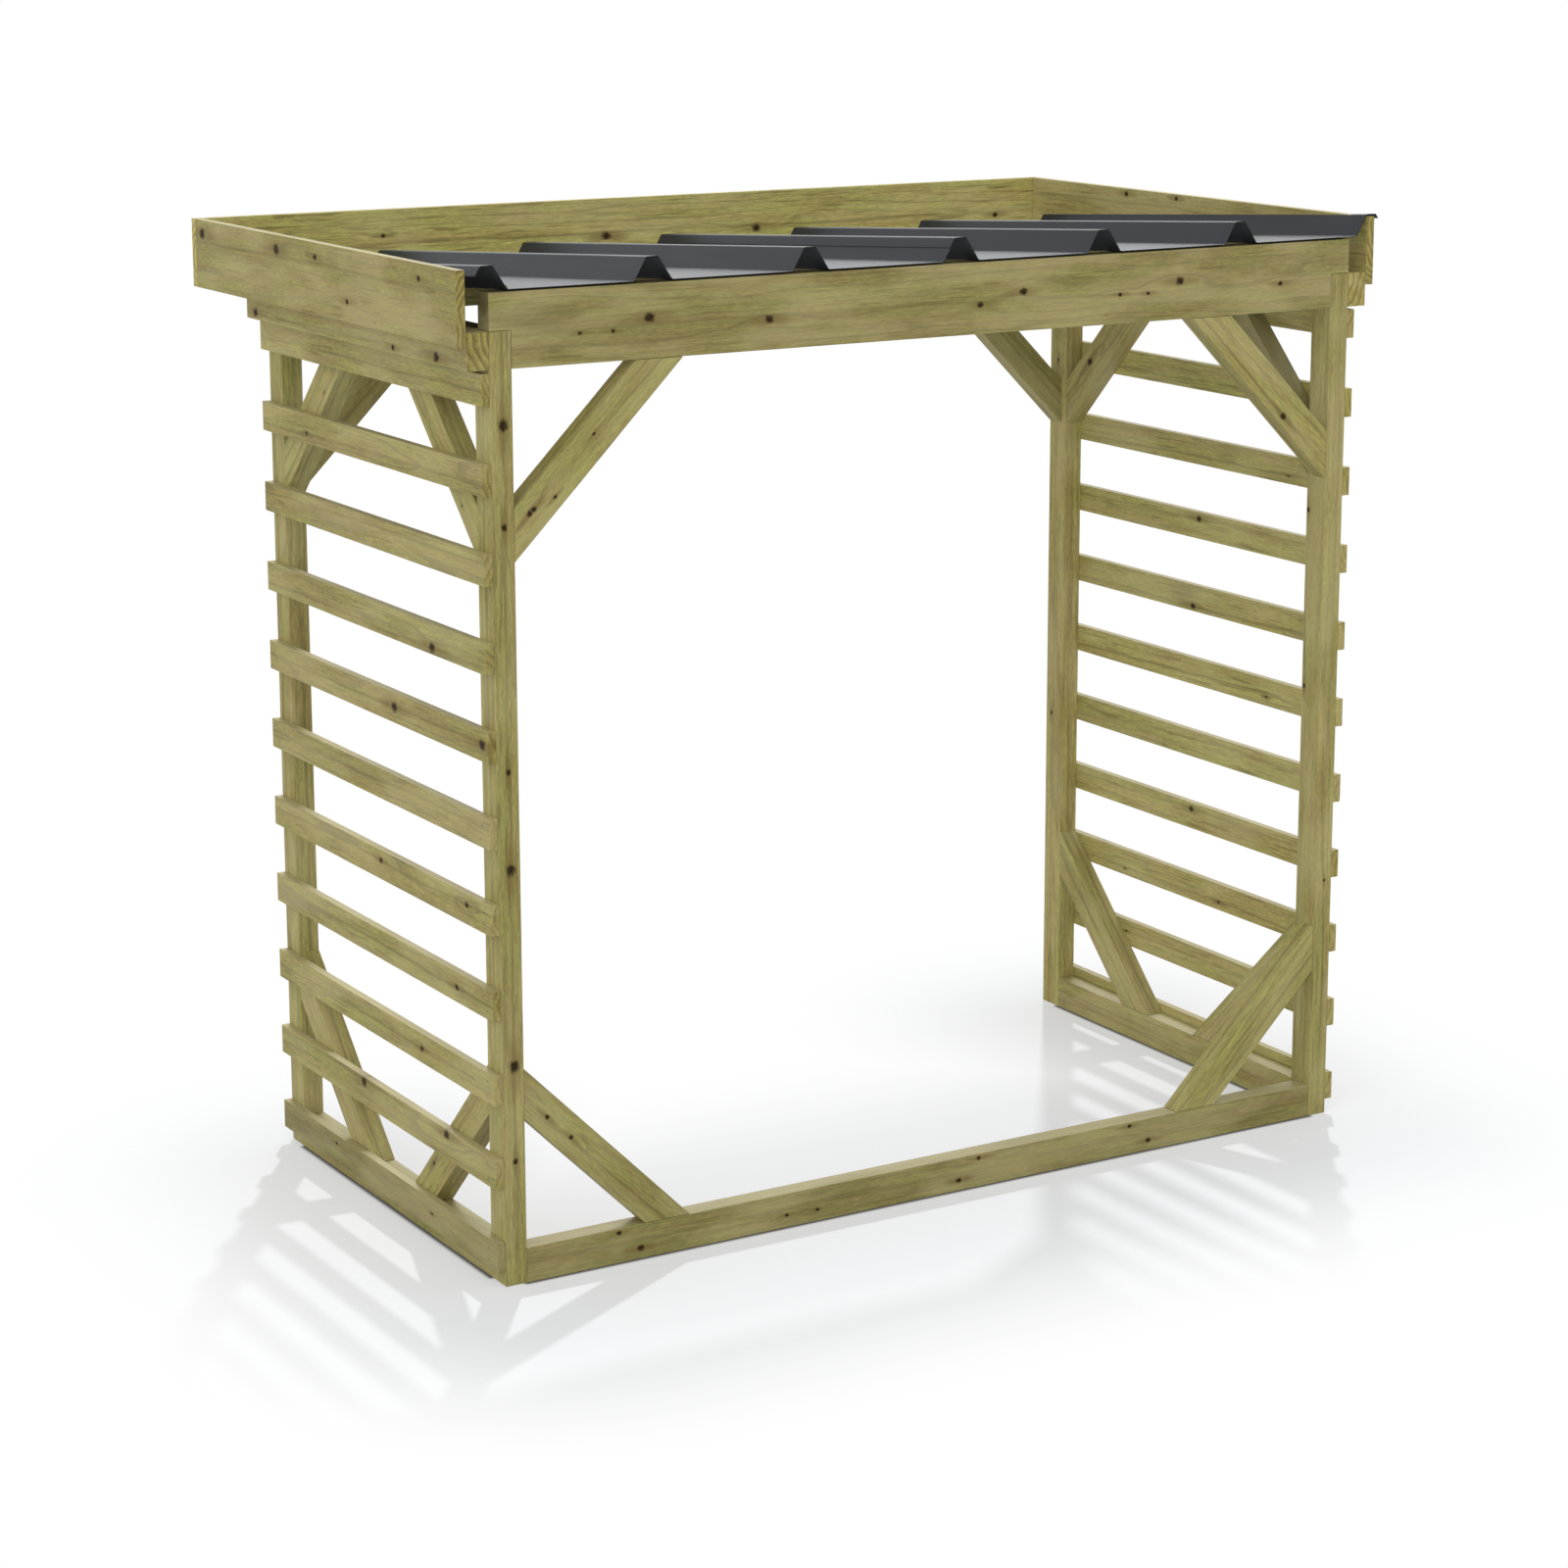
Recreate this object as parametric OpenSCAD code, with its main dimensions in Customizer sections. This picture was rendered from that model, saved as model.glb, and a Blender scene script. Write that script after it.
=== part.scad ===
// Open log store: a pine frame with braced corners, slatted sides and a ribbed steel roof.
// The front faces -Y, and the origin is on the ground at the middle of the overall box.

/* [Frame] */
// Width over the outer faces of the posts
frame_width = 1964; // [1500:1:3000]
// Depth over the front and back faces of the posts
frame_depth = 1000; // [800:1:1600]
// Height of the posts above the ground
post_height = 1807; // [1400:1:2400]
// Width of a post, seen from the front
post_width = 45; // [36:1:90]
// Depth of a post, seen from the side
post_depth = 62; // [45:1:120]

/* [Rails and beams] */
// Height of the rails at the foot and at the top of the frame
rail_height = 70; // [50:1:120]
// Thickness of the rails
rail_thickness = 45; // [30:1:45]
// Height of the front beam, which carries the high edge of the roof
beam_height = 140; // [110:1:220]
// Thickness of the front beam
beam_thickness = 45; // [30:1:62]
// Depth of the half lap where the front beam sits on the posts
beam_lap = 70; // [40:1:90]

/* [Braces] */
// Length of a brace along its long edge
brace_length = 500; // [300:1:560]
// Width of a brace
brace_width = 70; // [45:1:100]
// Thickness of a brace
brace_thickness = 45; // [30:1:45]

/* [Side slats] */
// Number of slats on each side
slat_count = 11; // [6:1:14]
// Height of a slat
slat_height = 60; // [40:1:90]
// Thickness of a slat
slat_thickness = 18; // [12:1:30]
// Gap between the ground and the lowest slat
slat_ground_gap = 30; // [10:1:60]
// Gap between the highest slat and the batten above it
slat_batten_gap = 5; // [2:1:30]

/* [Battens and fascia] */
// Height of the side battens that carry the fascia boards
batten_height = 70; // [45:1:100]
// Thickness of the side battens
batten_thickness = 45; // [25:1:63]
// Thickness of the fascia boards
fascia_thickness = 19; // [15:1:30]
// How far a side fascia board laps down over its batten
fascia_lap = 27; // [20:1:40]
// How far the fascia boards stand out behind the back posts
fascia_overhang = 231; // [210:1:400]

/* [Roof sheets] */
// Number of ribs across the roof
rib_count = 7; // [5:2:9]
// Height of a rib above the flat of the sheet
rib_height = 44; // [30:1:55]
// Width of a rib at its crown
rib_crown = 24; // [18:1:40]
// Width of a rib at its foot
rib_foot = 78; // [60:1:110]
// Thickness of the sheet
sheet_thickness = 1; // [0.6:0.1:1.5]
// Length of the sheet down the slope
sheet_length = 1165; // [1040:1:1170]
// Distance from the left fascia to the middle of the first rib
first_rib_inset = 44; // [42:1:80]

/* [Hidden] */

// Chamfer that stands for the eased arris of planed timber
eased_edge = 2;
// Slope of the braces
brace_angle = 45;
// Share of a rib's height that the free leg at the left edge of the roof comes down
free_leg_share = 0.4;
// Share of a rib's height that the covered leg under the sheet lap comes down
covered_leg_share = 0.75;
// Share of a rib's height that the cap over the right fascia comes down
cap_leg_share = 0.2;
// Length of the cap that the last rib makes over the front end of the right fascia
cap_length = 50;
// Gap between the roof sheets where they lap, and between a sheet and the fascia
sheet_clearance = 0.3;
// Overrun of cuts past the faces that they go through
overrun = 10;

timber_colour = [0.60, 0.57, 0.36];
slat_colour = [0.58, 0.55, 0.36];
fascia_colour = [0.61, 0.57, 0.35];
roof_colour = [0.27, 0.28, 0.31];

// Levels above the ground
beam_bottom = post_height - beam_lap;
beam_top = beam_bottom + beam_height;
top_rail_bottom = post_height - rail_height;
batten_bottom = post_height - batten_height;
fascia_bottom = post_height - fascia_lap;

// Slope of the roof: it lies on the back edges of the front beam and the back beam
roof_slope = atan((beam_top - post_height) / (frame_depth - beam_thickness));
roof_front_level = beam_top + beam_thickness * tan(roof_slope);
cap_underside = roof_front_level + rib_height * cos(roof_slope) - cap_length * sin(roof_slope);
fascia_height = cap_underside - sheet_clearance - fascia_bottom;

// Section of a rib: the flank's angle, and its distance from the middle of the rib
flank_angle = atan(2 * rib_height / (rib_foot - rib_crown));
function flank_x(level, offset) = rib_foot / 2 - level / tan(flank_angle) + offset / sin(flank_angle);

// Places across the width, from the left fascia to the cap on the right fascia
side_build_up = batten_thickness + fascia_thickness;
cap_drop = cap_leg_share * rib_height;
cap_reach = flank_x(rib_height - cap_drop, sheet_thickness) - rib_crown / 2;
right_overhang = max(0, rib_crown - fascia_thickness + cap_reach);
overall_width = frame_width + 2 * side_build_up + right_overhang;
left_face = side_build_up - overall_width / 2;
right_face = left_face + frame_width;
left_fascia_inside = left_face - batten_thickness;
right_fascia_inside = right_face + batten_thickness;
first_rib_x = left_fascia_inside + first_rib_inset;
last_rib_x = right_fascia_inside + rib_crown / 2;
rib_pitch = (last_rib_x - first_rib_x) / (rib_count - 1);
lap_rib = floor(rib_count / 2);

// Places across the depth
overall_depth = frame_depth + fascia_overhang;
front_face = -overall_depth / 2;
back_face = front_face + frame_depth;
side_rail_length = frame_depth - 2 * post_depth;
cross_rail_length = frame_width - 2 * post_width;

// Spacing of the slats, which fill the side from the ground gap up to the batten
slat_rise = batten_bottom - slat_batten_gap - slat_height - slat_ground_gap;
slat_pitch = slat_rise / (slat_count - 1);

// Section of planed timber with eased edges
module timber_section(width, height) {
    polygon([
        [eased_edge, 0], [width - eased_edge, 0],
        [width, eased_edge], [width, height - eased_edge],
        [width - eased_edge, height], [eased_edge, height],
        [0, height - eased_edge], [0, eased_edge]
    ]);
}

// Timber that stands up
module upright_timber(width, depth, height) {
    linear_extrude(height) timber_section(width, depth);
}

// Timber that runs across the width
module cross_timber(length, depth, height) {
    rotate([90, 0, 90]) linear_extrude(length) timber_section(depth, height);
}

// Timber that runs from front to back
module side_timber(length, width, height) {
    translate([0, length, 0]) rotate([90, 0, 0]) linear_extrude(length) timber_section(width, height);
}

// Post with its outer corner at the given place
module post(x, y) {
    color(timber_colour) translate([x, y, 0]) upright_timber(post_width, post_depth, post_height);
}

// Rail between the posts of one side
module side_rail(x, level) {
    color(timber_colour)
        translate([x, front_face + post_depth, level])
            side_timber(side_rail_length, rail_thickness, rail_height);
}

// Rail between the two posts of the front or the back
module cross_rail(y, level) {
    color(timber_colour)
        translate([left_face + post_width, y, level])
            cross_timber(cross_rail_length, rail_thickness, rail_height);
}

// Brace in a corner at the origin, reaching out along +X and up along +Z, with both ends cut to seat
module corner_brace() {
    leg_out = brace_length * cos(brace_angle);
    leg_up = brace_length * sin(brace_angle);
    intersection() {
        translate([leg_out, 0, 0])
            rotate([0, brace_angle - 180, 0])
                cross_timber(brace_length, brace_thickness, brace_width);
        cube([leg_out, brace_thickness, leg_up]);
    }
}

// Brace across the front or back: side is 0 at the left post and 1 at the right, upper is 0 or 1
module cross_brace(y, level, side, upper) {
    x = side == 0 ? left_face + post_width : right_face - post_width;
    color(timber_colour)
        translate([x, y, level]) mirror([side, 0, 0]) mirror([0, 0, upper]) corner_brace();
}

// Brace in a side of the frame: end is 0 at the front post and 1 at the back, upper is 0 or 1
module side_brace(x, level, end, upper) {
    y = end == 0 ? front_face + post_depth : back_face - post_depth;
    color(timber_colour)
        translate([x + brace_thickness, y, level])
            mirror([0, end, 0]) mirror([0, 0, upper]) rotate([0, 0, 90]) corner_brace();
}

// Slats of one side
module slats(x) {
    color(slat_colour)
        for (i = [0 : slat_count - 1])
            translate([x, front_face, slat_ground_gap + i * slat_pitch])
                side_timber(frame_depth, slat_thickness, slat_height);
}

// Batten above the slats of one side
module batten(x) {
    color(timber_colour)
        translate([x, front_face, batten_bottom])
            side_timber(frame_depth, batten_thickness, batten_height);
}

// Fascia board along one side
module side_fascia(x) {
    color(fascia_colour)
        translate([x, front_face, fascia_bottom])
            side_timber(overall_depth - fascia_thickness, fascia_thickness, fascia_height);
}

// Points along one face of a rib, from left to right, at an offset from the under face of the sheet
function rib_points(x, grow, offset) =
    let (crown_level = rib_height + grow + offset, reach = grow + offset)
    [[x - flank_x(offset, reach), offset], [x - flank_x(crown_level, reach), crown_level],
     [x + flank_x(crown_level, reach), crown_level], [x + flank_x(offset, reach), offset]];

// End of a leg that comes down only a share of the rib's height, on the side given by hand, -1 or 1
function leg_end(x, hand, share, grow, offset) =
    let (level = (1 - share) * (rib_height + grow))
    [x + hand * flank_x(level, grow + offset), level];

// Face of a sheet from its first to its last rib: the outer leg of both edge ribs is cut short
function face_points(first, last, left_share, right_share, left_grow, offset) =
    let (left_x = first_rib_x + first * rib_pitch, right_x = first_rib_x + last * rib_pitch)
    let (left_rib = rib_points(left_x, left_grow, offset), right_rib = rib_points(right_x, 0, offset))
    concat(
        [leg_end(left_x, -1, left_share, left_grow, offset), left_rib[1], left_rib[2], left_rib[3]],
        [for (i = [first + 1 : 1 : last - 1]) each rib_points(first_rib_x + i * rib_pitch, 0, offset)],
        [right_rib[0], right_rib[1], right_rib[2], leg_end(right_x, 1, right_share, 0, offset)]);

// Ribbed sheet, laid along +Y from the origin
module ribbed_sheet(first, last, left_share, right_share, left_grow) {
    under_face = face_points(first, last, left_share, right_share, left_grow, 0);
    upper_face = face_points(first, last, left_share, right_share, left_grow, sheet_thickness);
    reversed_face = [for (i = [len(upper_face) - 1 : -1 : 0]) upper_face[i]];
    translate([0, sheet_length, 0])
        rotate([90, 0, 0])
            linear_extrude(sheet_length) polygon(concat(under_face, reversed_face));
}

// Place of the roof sheets on the beams
module on_roof_slope() {
    color(roof_colour)
        translate([0, front_face, roof_front_level]) rotate([-roof_slope, 0, 0]) children();
}

module front_left_post() { post(left_face, front_face); }
module front_right_post() { post(right_face - post_width, front_face); }
module back_left_post() { post(left_face, back_face - post_depth); }
module back_right_post() { post(right_face - post_width, back_face - post_depth); }

module front_bottom_rail() { cross_rail(front_face, 0); }
module left_bottom_rail() { side_rail(left_face, 0); }
module right_bottom_rail() { side_rail(right_face - rail_thickness, 0); }

// Front beam: its lower half fits between the posts and its upper half runs over them
module front_beam() {
    color(timber_colour)
        difference() {
            translate([left_face, front_face, beam_bottom])
                cross_timber(frame_width, beam_thickness, beam_height);
            for (x = [left_face - overrun, right_face - post_width])
                translate([x, front_face - overrun, beam_bottom - overrun])
                    cube([post_width + overrun, beam_thickness + 2 * overrun, beam_lap + overrun]);
        }
}

module back_beam() { cross_rail(back_face - rail_thickness, top_rail_bottom); }
module left_top_rail() { side_rail(left_face, top_rail_bottom); }
module right_top_rail() { side_rail(right_face - rail_thickness, top_rail_bottom); }

module front_upper_left_brace() { cross_brace(front_face, beam_bottom, 0, 1); }
module front_upper_right_brace() { cross_brace(front_face, beam_bottom, 1, 1); }
module front_lower_left_brace() { cross_brace(front_face, rail_height, 0, 0); }
module front_lower_right_brace() { cross_brace(front_face, rail_height, 1, 0); }
module back_upper_left_brace() { cross_brace(back_face - brace_thickness, top_rail_bottom, 0, 1); }
module back_upper_right_brace() { cross_brace(back_face - brace_thickness, top_rail_bottom, 1, 1); }

module left_upper_front_brace() { side_brace(left_face, top_rail_bottom, 0, 1); }
module left_upper_back_brace() { side_brace(left_face, top_rail_bottom, 1, 1); }
module left_lower_front_brace() { side_brace(left_face, rail_height, 0, 0); }
module left_lower_back_brace() { side_brace(left_face, rail_height, 1, 0); }
module right_upper_front_brace() { side_brace(right_face - brace_thickness, top_rail_bottom, 0, 1); }
module right_upper_back_brace() { side_brace(right_face - brace_thickness, top_rail_bottom, 1, 1); }
module right_lower_front_brace() { side_brace(right_face - brace_thickness, rail_height, 0, 0); }
module right_lower_back_brace() { side_brace(right_face - brace_thickness, rail_height, 1, 0); }

module left_slats() { slats(left_face - slat_thickness); }
module right_slats() { slats(right_face); }

module left_batten() { batten(left_fascia_inside); }
module right_batten() { batten(right_face); }

module left_fascia() { side_fascia(left_fascia_inside - fascia_thickness); }
module right_fascia() { side_fascia(right_fascia_inside); }

// Back fascia, which covers the ends of the side boards
module back_fascia() {
    color(fascia_colour)
        translate([left_face - side_build_up, front_face + overall_depth - fascia_thickness, fascia_bottom])
            cross_timber(frame_width + 2 * side_build_up, fascia_thickness, fascia_height);
}

// Left roof sheet: its last rib lies under the first rib of the right sheet
module left_roof_sheet() {
    on_roof_slope() ribbed_sheet(0, lap_rib, free_leg_share, covered_leg_share, 0);
}

// Right roof sheet: its last rib caps the front end of the right fascia, and is trimmed beside the rest
module right_roof_sheet() {
    on_roof_slope()
        difference() {
            ribbed_sheet(lap_rib, rib_count - 1, free_leg_share, cap_leg_share,
                sheet_thickness + sheet_clearance);
            translate([right_fascia_inside - sheet_clearance, cap_length, 0])
                cube([rib_foot, sheet_length, rib_height + overrun]);
        }
}

front_left_post();
front_right_post();
back_left_post();
back_right_post();
front_bottom_rail();
left_bottom_rail();
right_bottom_rail();
front_beam();
back_beam();
left_top_rail();
right_top_rail();
front_upper_left_brace();
front_upper_right_brace();
front_lower_left_brace();
front_lower_right_brace();
back_upper_left_brace();
back_upper_right_brace();
left_upper_front_brace();
left_upper_back_brace();
left_lower_front_brace();
left_lower_back_brace();
right_upper_front_brace();
right_upper_back_brace();
right_lower_front_brace();
right_lower_back_brace();
left_slats();
right_slats();
left_batten();
right_batten();
left_fascia();
right_fascia();
back_fascia();
left_roof_sheet();
right_roof_sheet();
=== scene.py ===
"""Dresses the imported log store: planed pine boards, a folded steel roof, its fixings, and a plain studio."""

import math
import random
from collections import namedtuple

import bmesh
import bpy
from bpy.props import FloatProperty, FloatVectorProperty, IntProperty, PointerProperty
from mathutils import Matrix, Vector, noise


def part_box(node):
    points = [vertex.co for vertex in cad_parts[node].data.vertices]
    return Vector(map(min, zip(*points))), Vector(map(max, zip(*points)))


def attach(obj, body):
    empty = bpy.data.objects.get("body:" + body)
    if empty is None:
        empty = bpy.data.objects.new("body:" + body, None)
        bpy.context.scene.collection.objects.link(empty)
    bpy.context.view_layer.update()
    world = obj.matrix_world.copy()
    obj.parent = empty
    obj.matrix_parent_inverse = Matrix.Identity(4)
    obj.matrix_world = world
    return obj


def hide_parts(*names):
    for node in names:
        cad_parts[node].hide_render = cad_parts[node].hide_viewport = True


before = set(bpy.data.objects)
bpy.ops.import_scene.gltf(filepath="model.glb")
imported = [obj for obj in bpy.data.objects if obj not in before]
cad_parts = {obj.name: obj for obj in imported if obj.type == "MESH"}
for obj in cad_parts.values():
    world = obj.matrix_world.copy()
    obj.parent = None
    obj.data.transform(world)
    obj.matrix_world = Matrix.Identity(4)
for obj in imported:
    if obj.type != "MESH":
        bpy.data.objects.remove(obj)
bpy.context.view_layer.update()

bl_info = {
    "name": "Log store",
    "version": (1, 0, 0),
    "blender": (4, 5, 0),
    "location": "View3D > Sidebar > Log store",
    "description": "Builds the boards, roof and fixings of an open log store around its packed frame",
    "category": "Object",
}

BODY = "root"
IMAGE_SIDE = 1600
SENSOR_WIDTH = 36.0
LAMP_DISTANCE = 6.0
FLOOR_SIDES = 96
WHITE = (1.0, 1.0, 1.0, 1.0)

# Names of the finishes, and the record's slots that they belong to
FRAME_PINE = "frame_pine"
SLAT_PINE = "slat_pine"
FASCIA_PINE = "fascia_pine"
ROOF_PAINT = "roof_paint"
NAIL_STEEL = "nail_steel"
WASHER_RUBBER = "washer_rubber"

# Axes of the length, the width and the thickness of boards that run straight
X_AXIS, Y_AXIS, Z_AXIS = 0, 1, 2
UNITS = (Vector((1.0, 0.0, 0.0)), Vector((0.0, 1.0, 0.0)), Vector((0.0, 0.0, 1.0)))
POST_AXES = (Z_AXIS, Y_AXIS, X_AXIS)
CROSS_AXES = (X_AXIS, Z_AXIS, Y_AXIS)
SIDE_AXES = (Y_AXIS, Z_AXIS, X_AXIS)

# Nodes of the frame that these boards stand for
SIDES = ("left", "right")
ENDS = ("front", "back")
POSTS = tuple(f"{end}_{side}_post" for end in ENDS for side in SIDES)
CROSS_RAILS = ("front_bottom_rail", "back_beam")
SIDE_RAILS = ("left_bottom_rail", "right_bottom_rail", "left_top_rail", "right_top_rail")
BOTTOM_RAILS = ("left_bottom_rail", "front_bottom_rail", "right_bottom_rail")
BATTENS = ("left_batten", "right_batten")
SIDE_FASCIAS = ("left_fascia", "right_fascia")
SLATS = ("left_slats", "right_slats")
CROSS_BRACES = (
    "front_upper_left_brace",
    "front_upper_right_brace",
    "front_lower_left_brace",
    "front_lower_right_brace",
    "back_upper_left_brace",
    "back_upper_right_brace",
)
SIDE_BRACES = tuple(
    f"{side}_{level}_{end}_brace" for side in SIDES for level in ("upper", "lower") for end in ENDS
)

# A board in its own coordinates: u along it, v across it and w through it; place takes them to the frame
Board = namedtuple("Board", "name outline thickness place knots")

# A knot: distance along the board, distance across it, radius, and which way it runs through the board
FACE, EDGE = 1.0, -1.0
Knot = namedtuple("Knot", "along across radius way", defaults=(FACE,))
KNOT_SLOTS = 10
FAR_AWAY = Knot(90.0, 0.0, 0.001)

# Knots that show in the photograph, listed in metres from each board's low end and low edge
KNOTS = {
    "front_left_post": (
        Knot(1.636, 0.025, 0.0108, EDGE),
        Knot(0.809, 0.025, 0.0102, EDGE),
        Knot(0.431, 0.025, 0.0108, EDGE),
        Knot(0.995, 0.024, 0.0058, EDGE),
        Knot(1.450, 0.024, 0.0062, EDGE),
        Knot(0.245, 0.024, 0.0055, EDGE),
    ),
    "front_right_post": (
        Knot(1.310, 0.055, 0.0050),
        Knot(0.935, 0.054, 0.0045),
        Knot(0.520, 0.026, 0.0034, EDGE),
    ),
    "front_beam": (
        Knot(0.328, 0.076, 0.0095),
        Knot(1.156, 0.077, 0.0080),
        Knot(1.533, 0.077, 0.0090),
        Knot(1.055, 0.057, 0.0062),
        Knot(0.582, 0.057, 0.0080),
        Knot(1.787, 0.058, 0.0052),
        Knot(1.387, 0.058, 0.0042),
        Knot(1.455, 0.057, 0.0042),
        Knot(0.183, 0.056, 0.0040),
        Knot(0.252, 0.056, 0.0042),
    ),
    "front_bottom_rail": (
        Knot(0.244, 0.022, 0.0068),
        Knot(1.449, 0.023, 0.0060),
        Knot(0.976, 0.022, 0.0062),
        Knot(0.197, 0.0610, 0.0052),
        Knot(1.024, 0.0610, 0.0048),
        Knot(1.401, 0.0615, 0.0046),
        Knot(0.571, 0.0254, 0.0042),
        Knot(0.642, 0.0240, 0.0042),
    ),
    "left_fascia": (
        Knot(0.798, 0.111, 0.0119),
        Knot(1.176, 0.111, 0.0119),
        Knot(0.154, 0.112, 0.0069),
        Knot(0.613, 0.112, 0.0069),
        Knot(0.470, 0.040, 0.0063),
    ),
    "right_fascia": (
        Knot(0.842, 0.128, 0.0065),
        Knot(0.656, 0.130, 0.0050),
        Knot(0.300, 0.060, 0.0070),
    ),
    "back_fascia": (
        Knot(0.951, 0.059, 0.0095),
        Knot(1.328, 0.059, 0.0095),
        Knot(1.969, 0.058, 0.0060),
        Knot(0.420, 0.085, 0.0050),
    ),
    "left_batten": (
        Knot(0.126, 0.014, 0.0100),
        Knot(0.956, 0.015, 0.0100),
        Knot(0.311, 0.012, 0.0063),
    ),
    "front_upper_left_brace": (
        Knot(0.405, 0.0395, 0.0056),
        Knot(0.416, 0.0405, 0.0062),
        Knot(0.360, 0.0216, 0.0042),
        Knot(0.2255, 0.042, 0.0034),
    ),
    "front_upper_right_brace": (
        Knot(0.320, 0.016, 0.0074),
    ),
    "front_lower_left_brace": (
        Knot(0.324, 0.039, 0.0050),
        Knot(0.394, 0.040, 0.0050),
    ),
    "right_upper_back_brace": (Knot(0.328, 0.042, 0.0084),),
    "left_slats.1": (
        Knot(0.588, 0.050, 0.0108),
        Knot(0.210, 0.050, 0.0101),
    ),
    "left_slats.2": (Knot(0.312, 0.030, 0.0068),),
    "left_slats.3": (Knot(0.151, 0.030, 0.0068),),
    "left_slats.4": (
        Knot(0.101, 0.039, 0.0068),
        Knot(0.480, 0.039, 0.0068),
    ),
    "left_slats.6": (
        Knot(0.023, 0.032, 0.0115),
        Knot(0.401, 0.032, 0.0108),
    ),
    "left_slats.7": (Knot(0.228, 0.014, 0.0108),),
    "right_slats.3": (Knot(0.496, 0.045, 0.0077),),
    "right_slats.6": (Knot(0.505, 0.012, 0.0077),),
    "right_slats.7": (Knot(0.489, 0.045, 0.0077),),
}

# Boards whose tone shows in the photograph: how light each one is, and how green.
# Some of these tones are painted light and shade: back_beam, back_upper_right_brace, right_upper_front_brace
# and left_slats.0 are darker as painted shade, and back_fascia, back_right_post and the right slats are
# lighter as painted light
Shade = namedtuple("Shade", "tone green")
TONES_AND_PAINTED_LIGHT = {
    "front_beam": Shade(0.775, 0.0),
    "front_bottom_rail": Shade(0.70, 0.01),
    "back_beam": Shade(0.70, 0.0),
    "left_bottom_rail": Shade(0.86, 0.0),
    "right_bottom_rail": Shade(0.92, 0.02),
    "front_left_post": Shade(1.03, 0.0),
    "front_right_post": Shade(0.98, 0.02),
    "back_right_post": Shade(1.14, 0.0),
    "back_left_post": Shade(0.96, 0.02),
    "left_fascia": Shade(0.90, -0.01),
    "right_fascia": Shade(0.94, 0.0),
    "back_fascia": Shade(1.42, -0.01),
    "left_batten": Shade(0.87, 0.0),
    "front_upper_left_brace": Shade(1.06, 0.02),
    "front_upper_right_brace": Shade(1.04, 0.0),
    "front_lower_left_brace": Shade(0.88, 0.05),
    "front_lower_right_brace": Shade(1.08, 0.05),
    "back_upper_right_brace": Shade(0.80, 0.06),
    "right_upper_front_brace": Shade(0.52, -0.02),
    "left_slats": Shade(0.95, 0.0),
    "left_slats.0": Shade(0.59, 0.01),
    "left_slats.5": Shade(0.90, 0.0),
    "right_slats": Shade(1.13, 0.0),
    "right_slats.4": Shade(1.19, 0.02),
    "right_slats.5": Shade(1.22, 0.02),
    "right_slats.8": Shade(1.18, 0.04),
    "right_slats.9": Shade(1.22, 0.04),
}
PLAIN_SHADE = Shade(1.0, 0.0)

# Painted shade on the upper faces and ends of pieces under the roof: how much of it each piece gets
PAINTED_ROOF_SHADE = {
    "front_beam": 1.0,
    "back_beam": 1.0,
    "left_top_rail": 1.0,
    "right_top_rail": 1.0,
    "right_slats": 0.4,
}

# Knots of a board that has none listed: spread of their number, place, distance across, and radius
KNOT_COUNT_SPREAD = (-0.8, 0.8)
KNOT_PLACE = (0.15, 0.85)
KNOT_ACROSS = (0.12, 0.88)
KNOT_RADIUS = (0.0024, 0.0048)

# Draws that make each board its own: an offset for the seed, and the ranges that are drawn from
MARK_SEED, HEART_SEED, LINE_SEED = 3, 7, 11
NOISE_OFFSET = (0.0, 40.0)
TONE_SPREAD = (0.96, 1.04)
GREEN_SPREAD = (-0.03, 0.03)
HEART_ACROSS = (0.1, 0.9)
HEART_AWAY = (0.03, 0.09)
RING_SPREAD = (0.8, 1.35)
LINE_ACROSS = (0.3, 0.7)
LINE_THROUGH = (0.35, 0.65)
LINE_COVER = (0.5, 0.85)

# Ripples of planed faces and of the sheets, in waves to the metre
RIPPLE_ALONG, RIPPLE_ACROSS = 9.0, 25.0
SHEET_RIPPLE_ACROSS, SHEET_RIPPLE_DOWN = 6.0, 5.0

# The sheets: the slice of the noise that ripples them, rows, steps round a fold, and what counts as touching
SHEET_SLICE = 2.0
SHEET_ROWS = 26
FOLD_STEPS = 5
TOUCH = 1e-6

# Sections of turned heads, from the bottom up: share of the radius, and height
NAIL_SECTION = ((1.0, -0.0020), (1.0, -0.00032), (0.82, -0.00012), (0.4, -0.00003))
WASHER_SECTION = ((1.0, 0.0), (1.0, 0.0012), (0.86, 0.0021), (0.6, 0.0024))
FLANGE_SECTION = ((0.62, 0.0018), (0.62, 0.0028))
HEAD_SECTION = ((1.0, 0.0030), (1.0, 0.0068), (0.86, 0.0075))
NAIL_SIDES, WASHER_SIDES, HEAD_SIDES = 12, 20, 6

# Places of the nails and screws: how far they wander, and shares of the boards that they hold
SLAT_NAIL_WANDER = 0.008
FASCIA_NAIL_WANDER = 0.01
NAIL_RISE = 0.003
FASCIA_NAIL_INSET = 0.06
BATTEN_NAIL_SHARES = (0.3, 0.7)
BATTEN_NAIL_HEIGHT = 0.018
BATTEN_NAIL_STAGGER = 0.012
BACK_NAIL_SHARES = (0.2, 0.5, 0.8)
SCREW_BESIDE_RIB = 1.3

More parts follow.
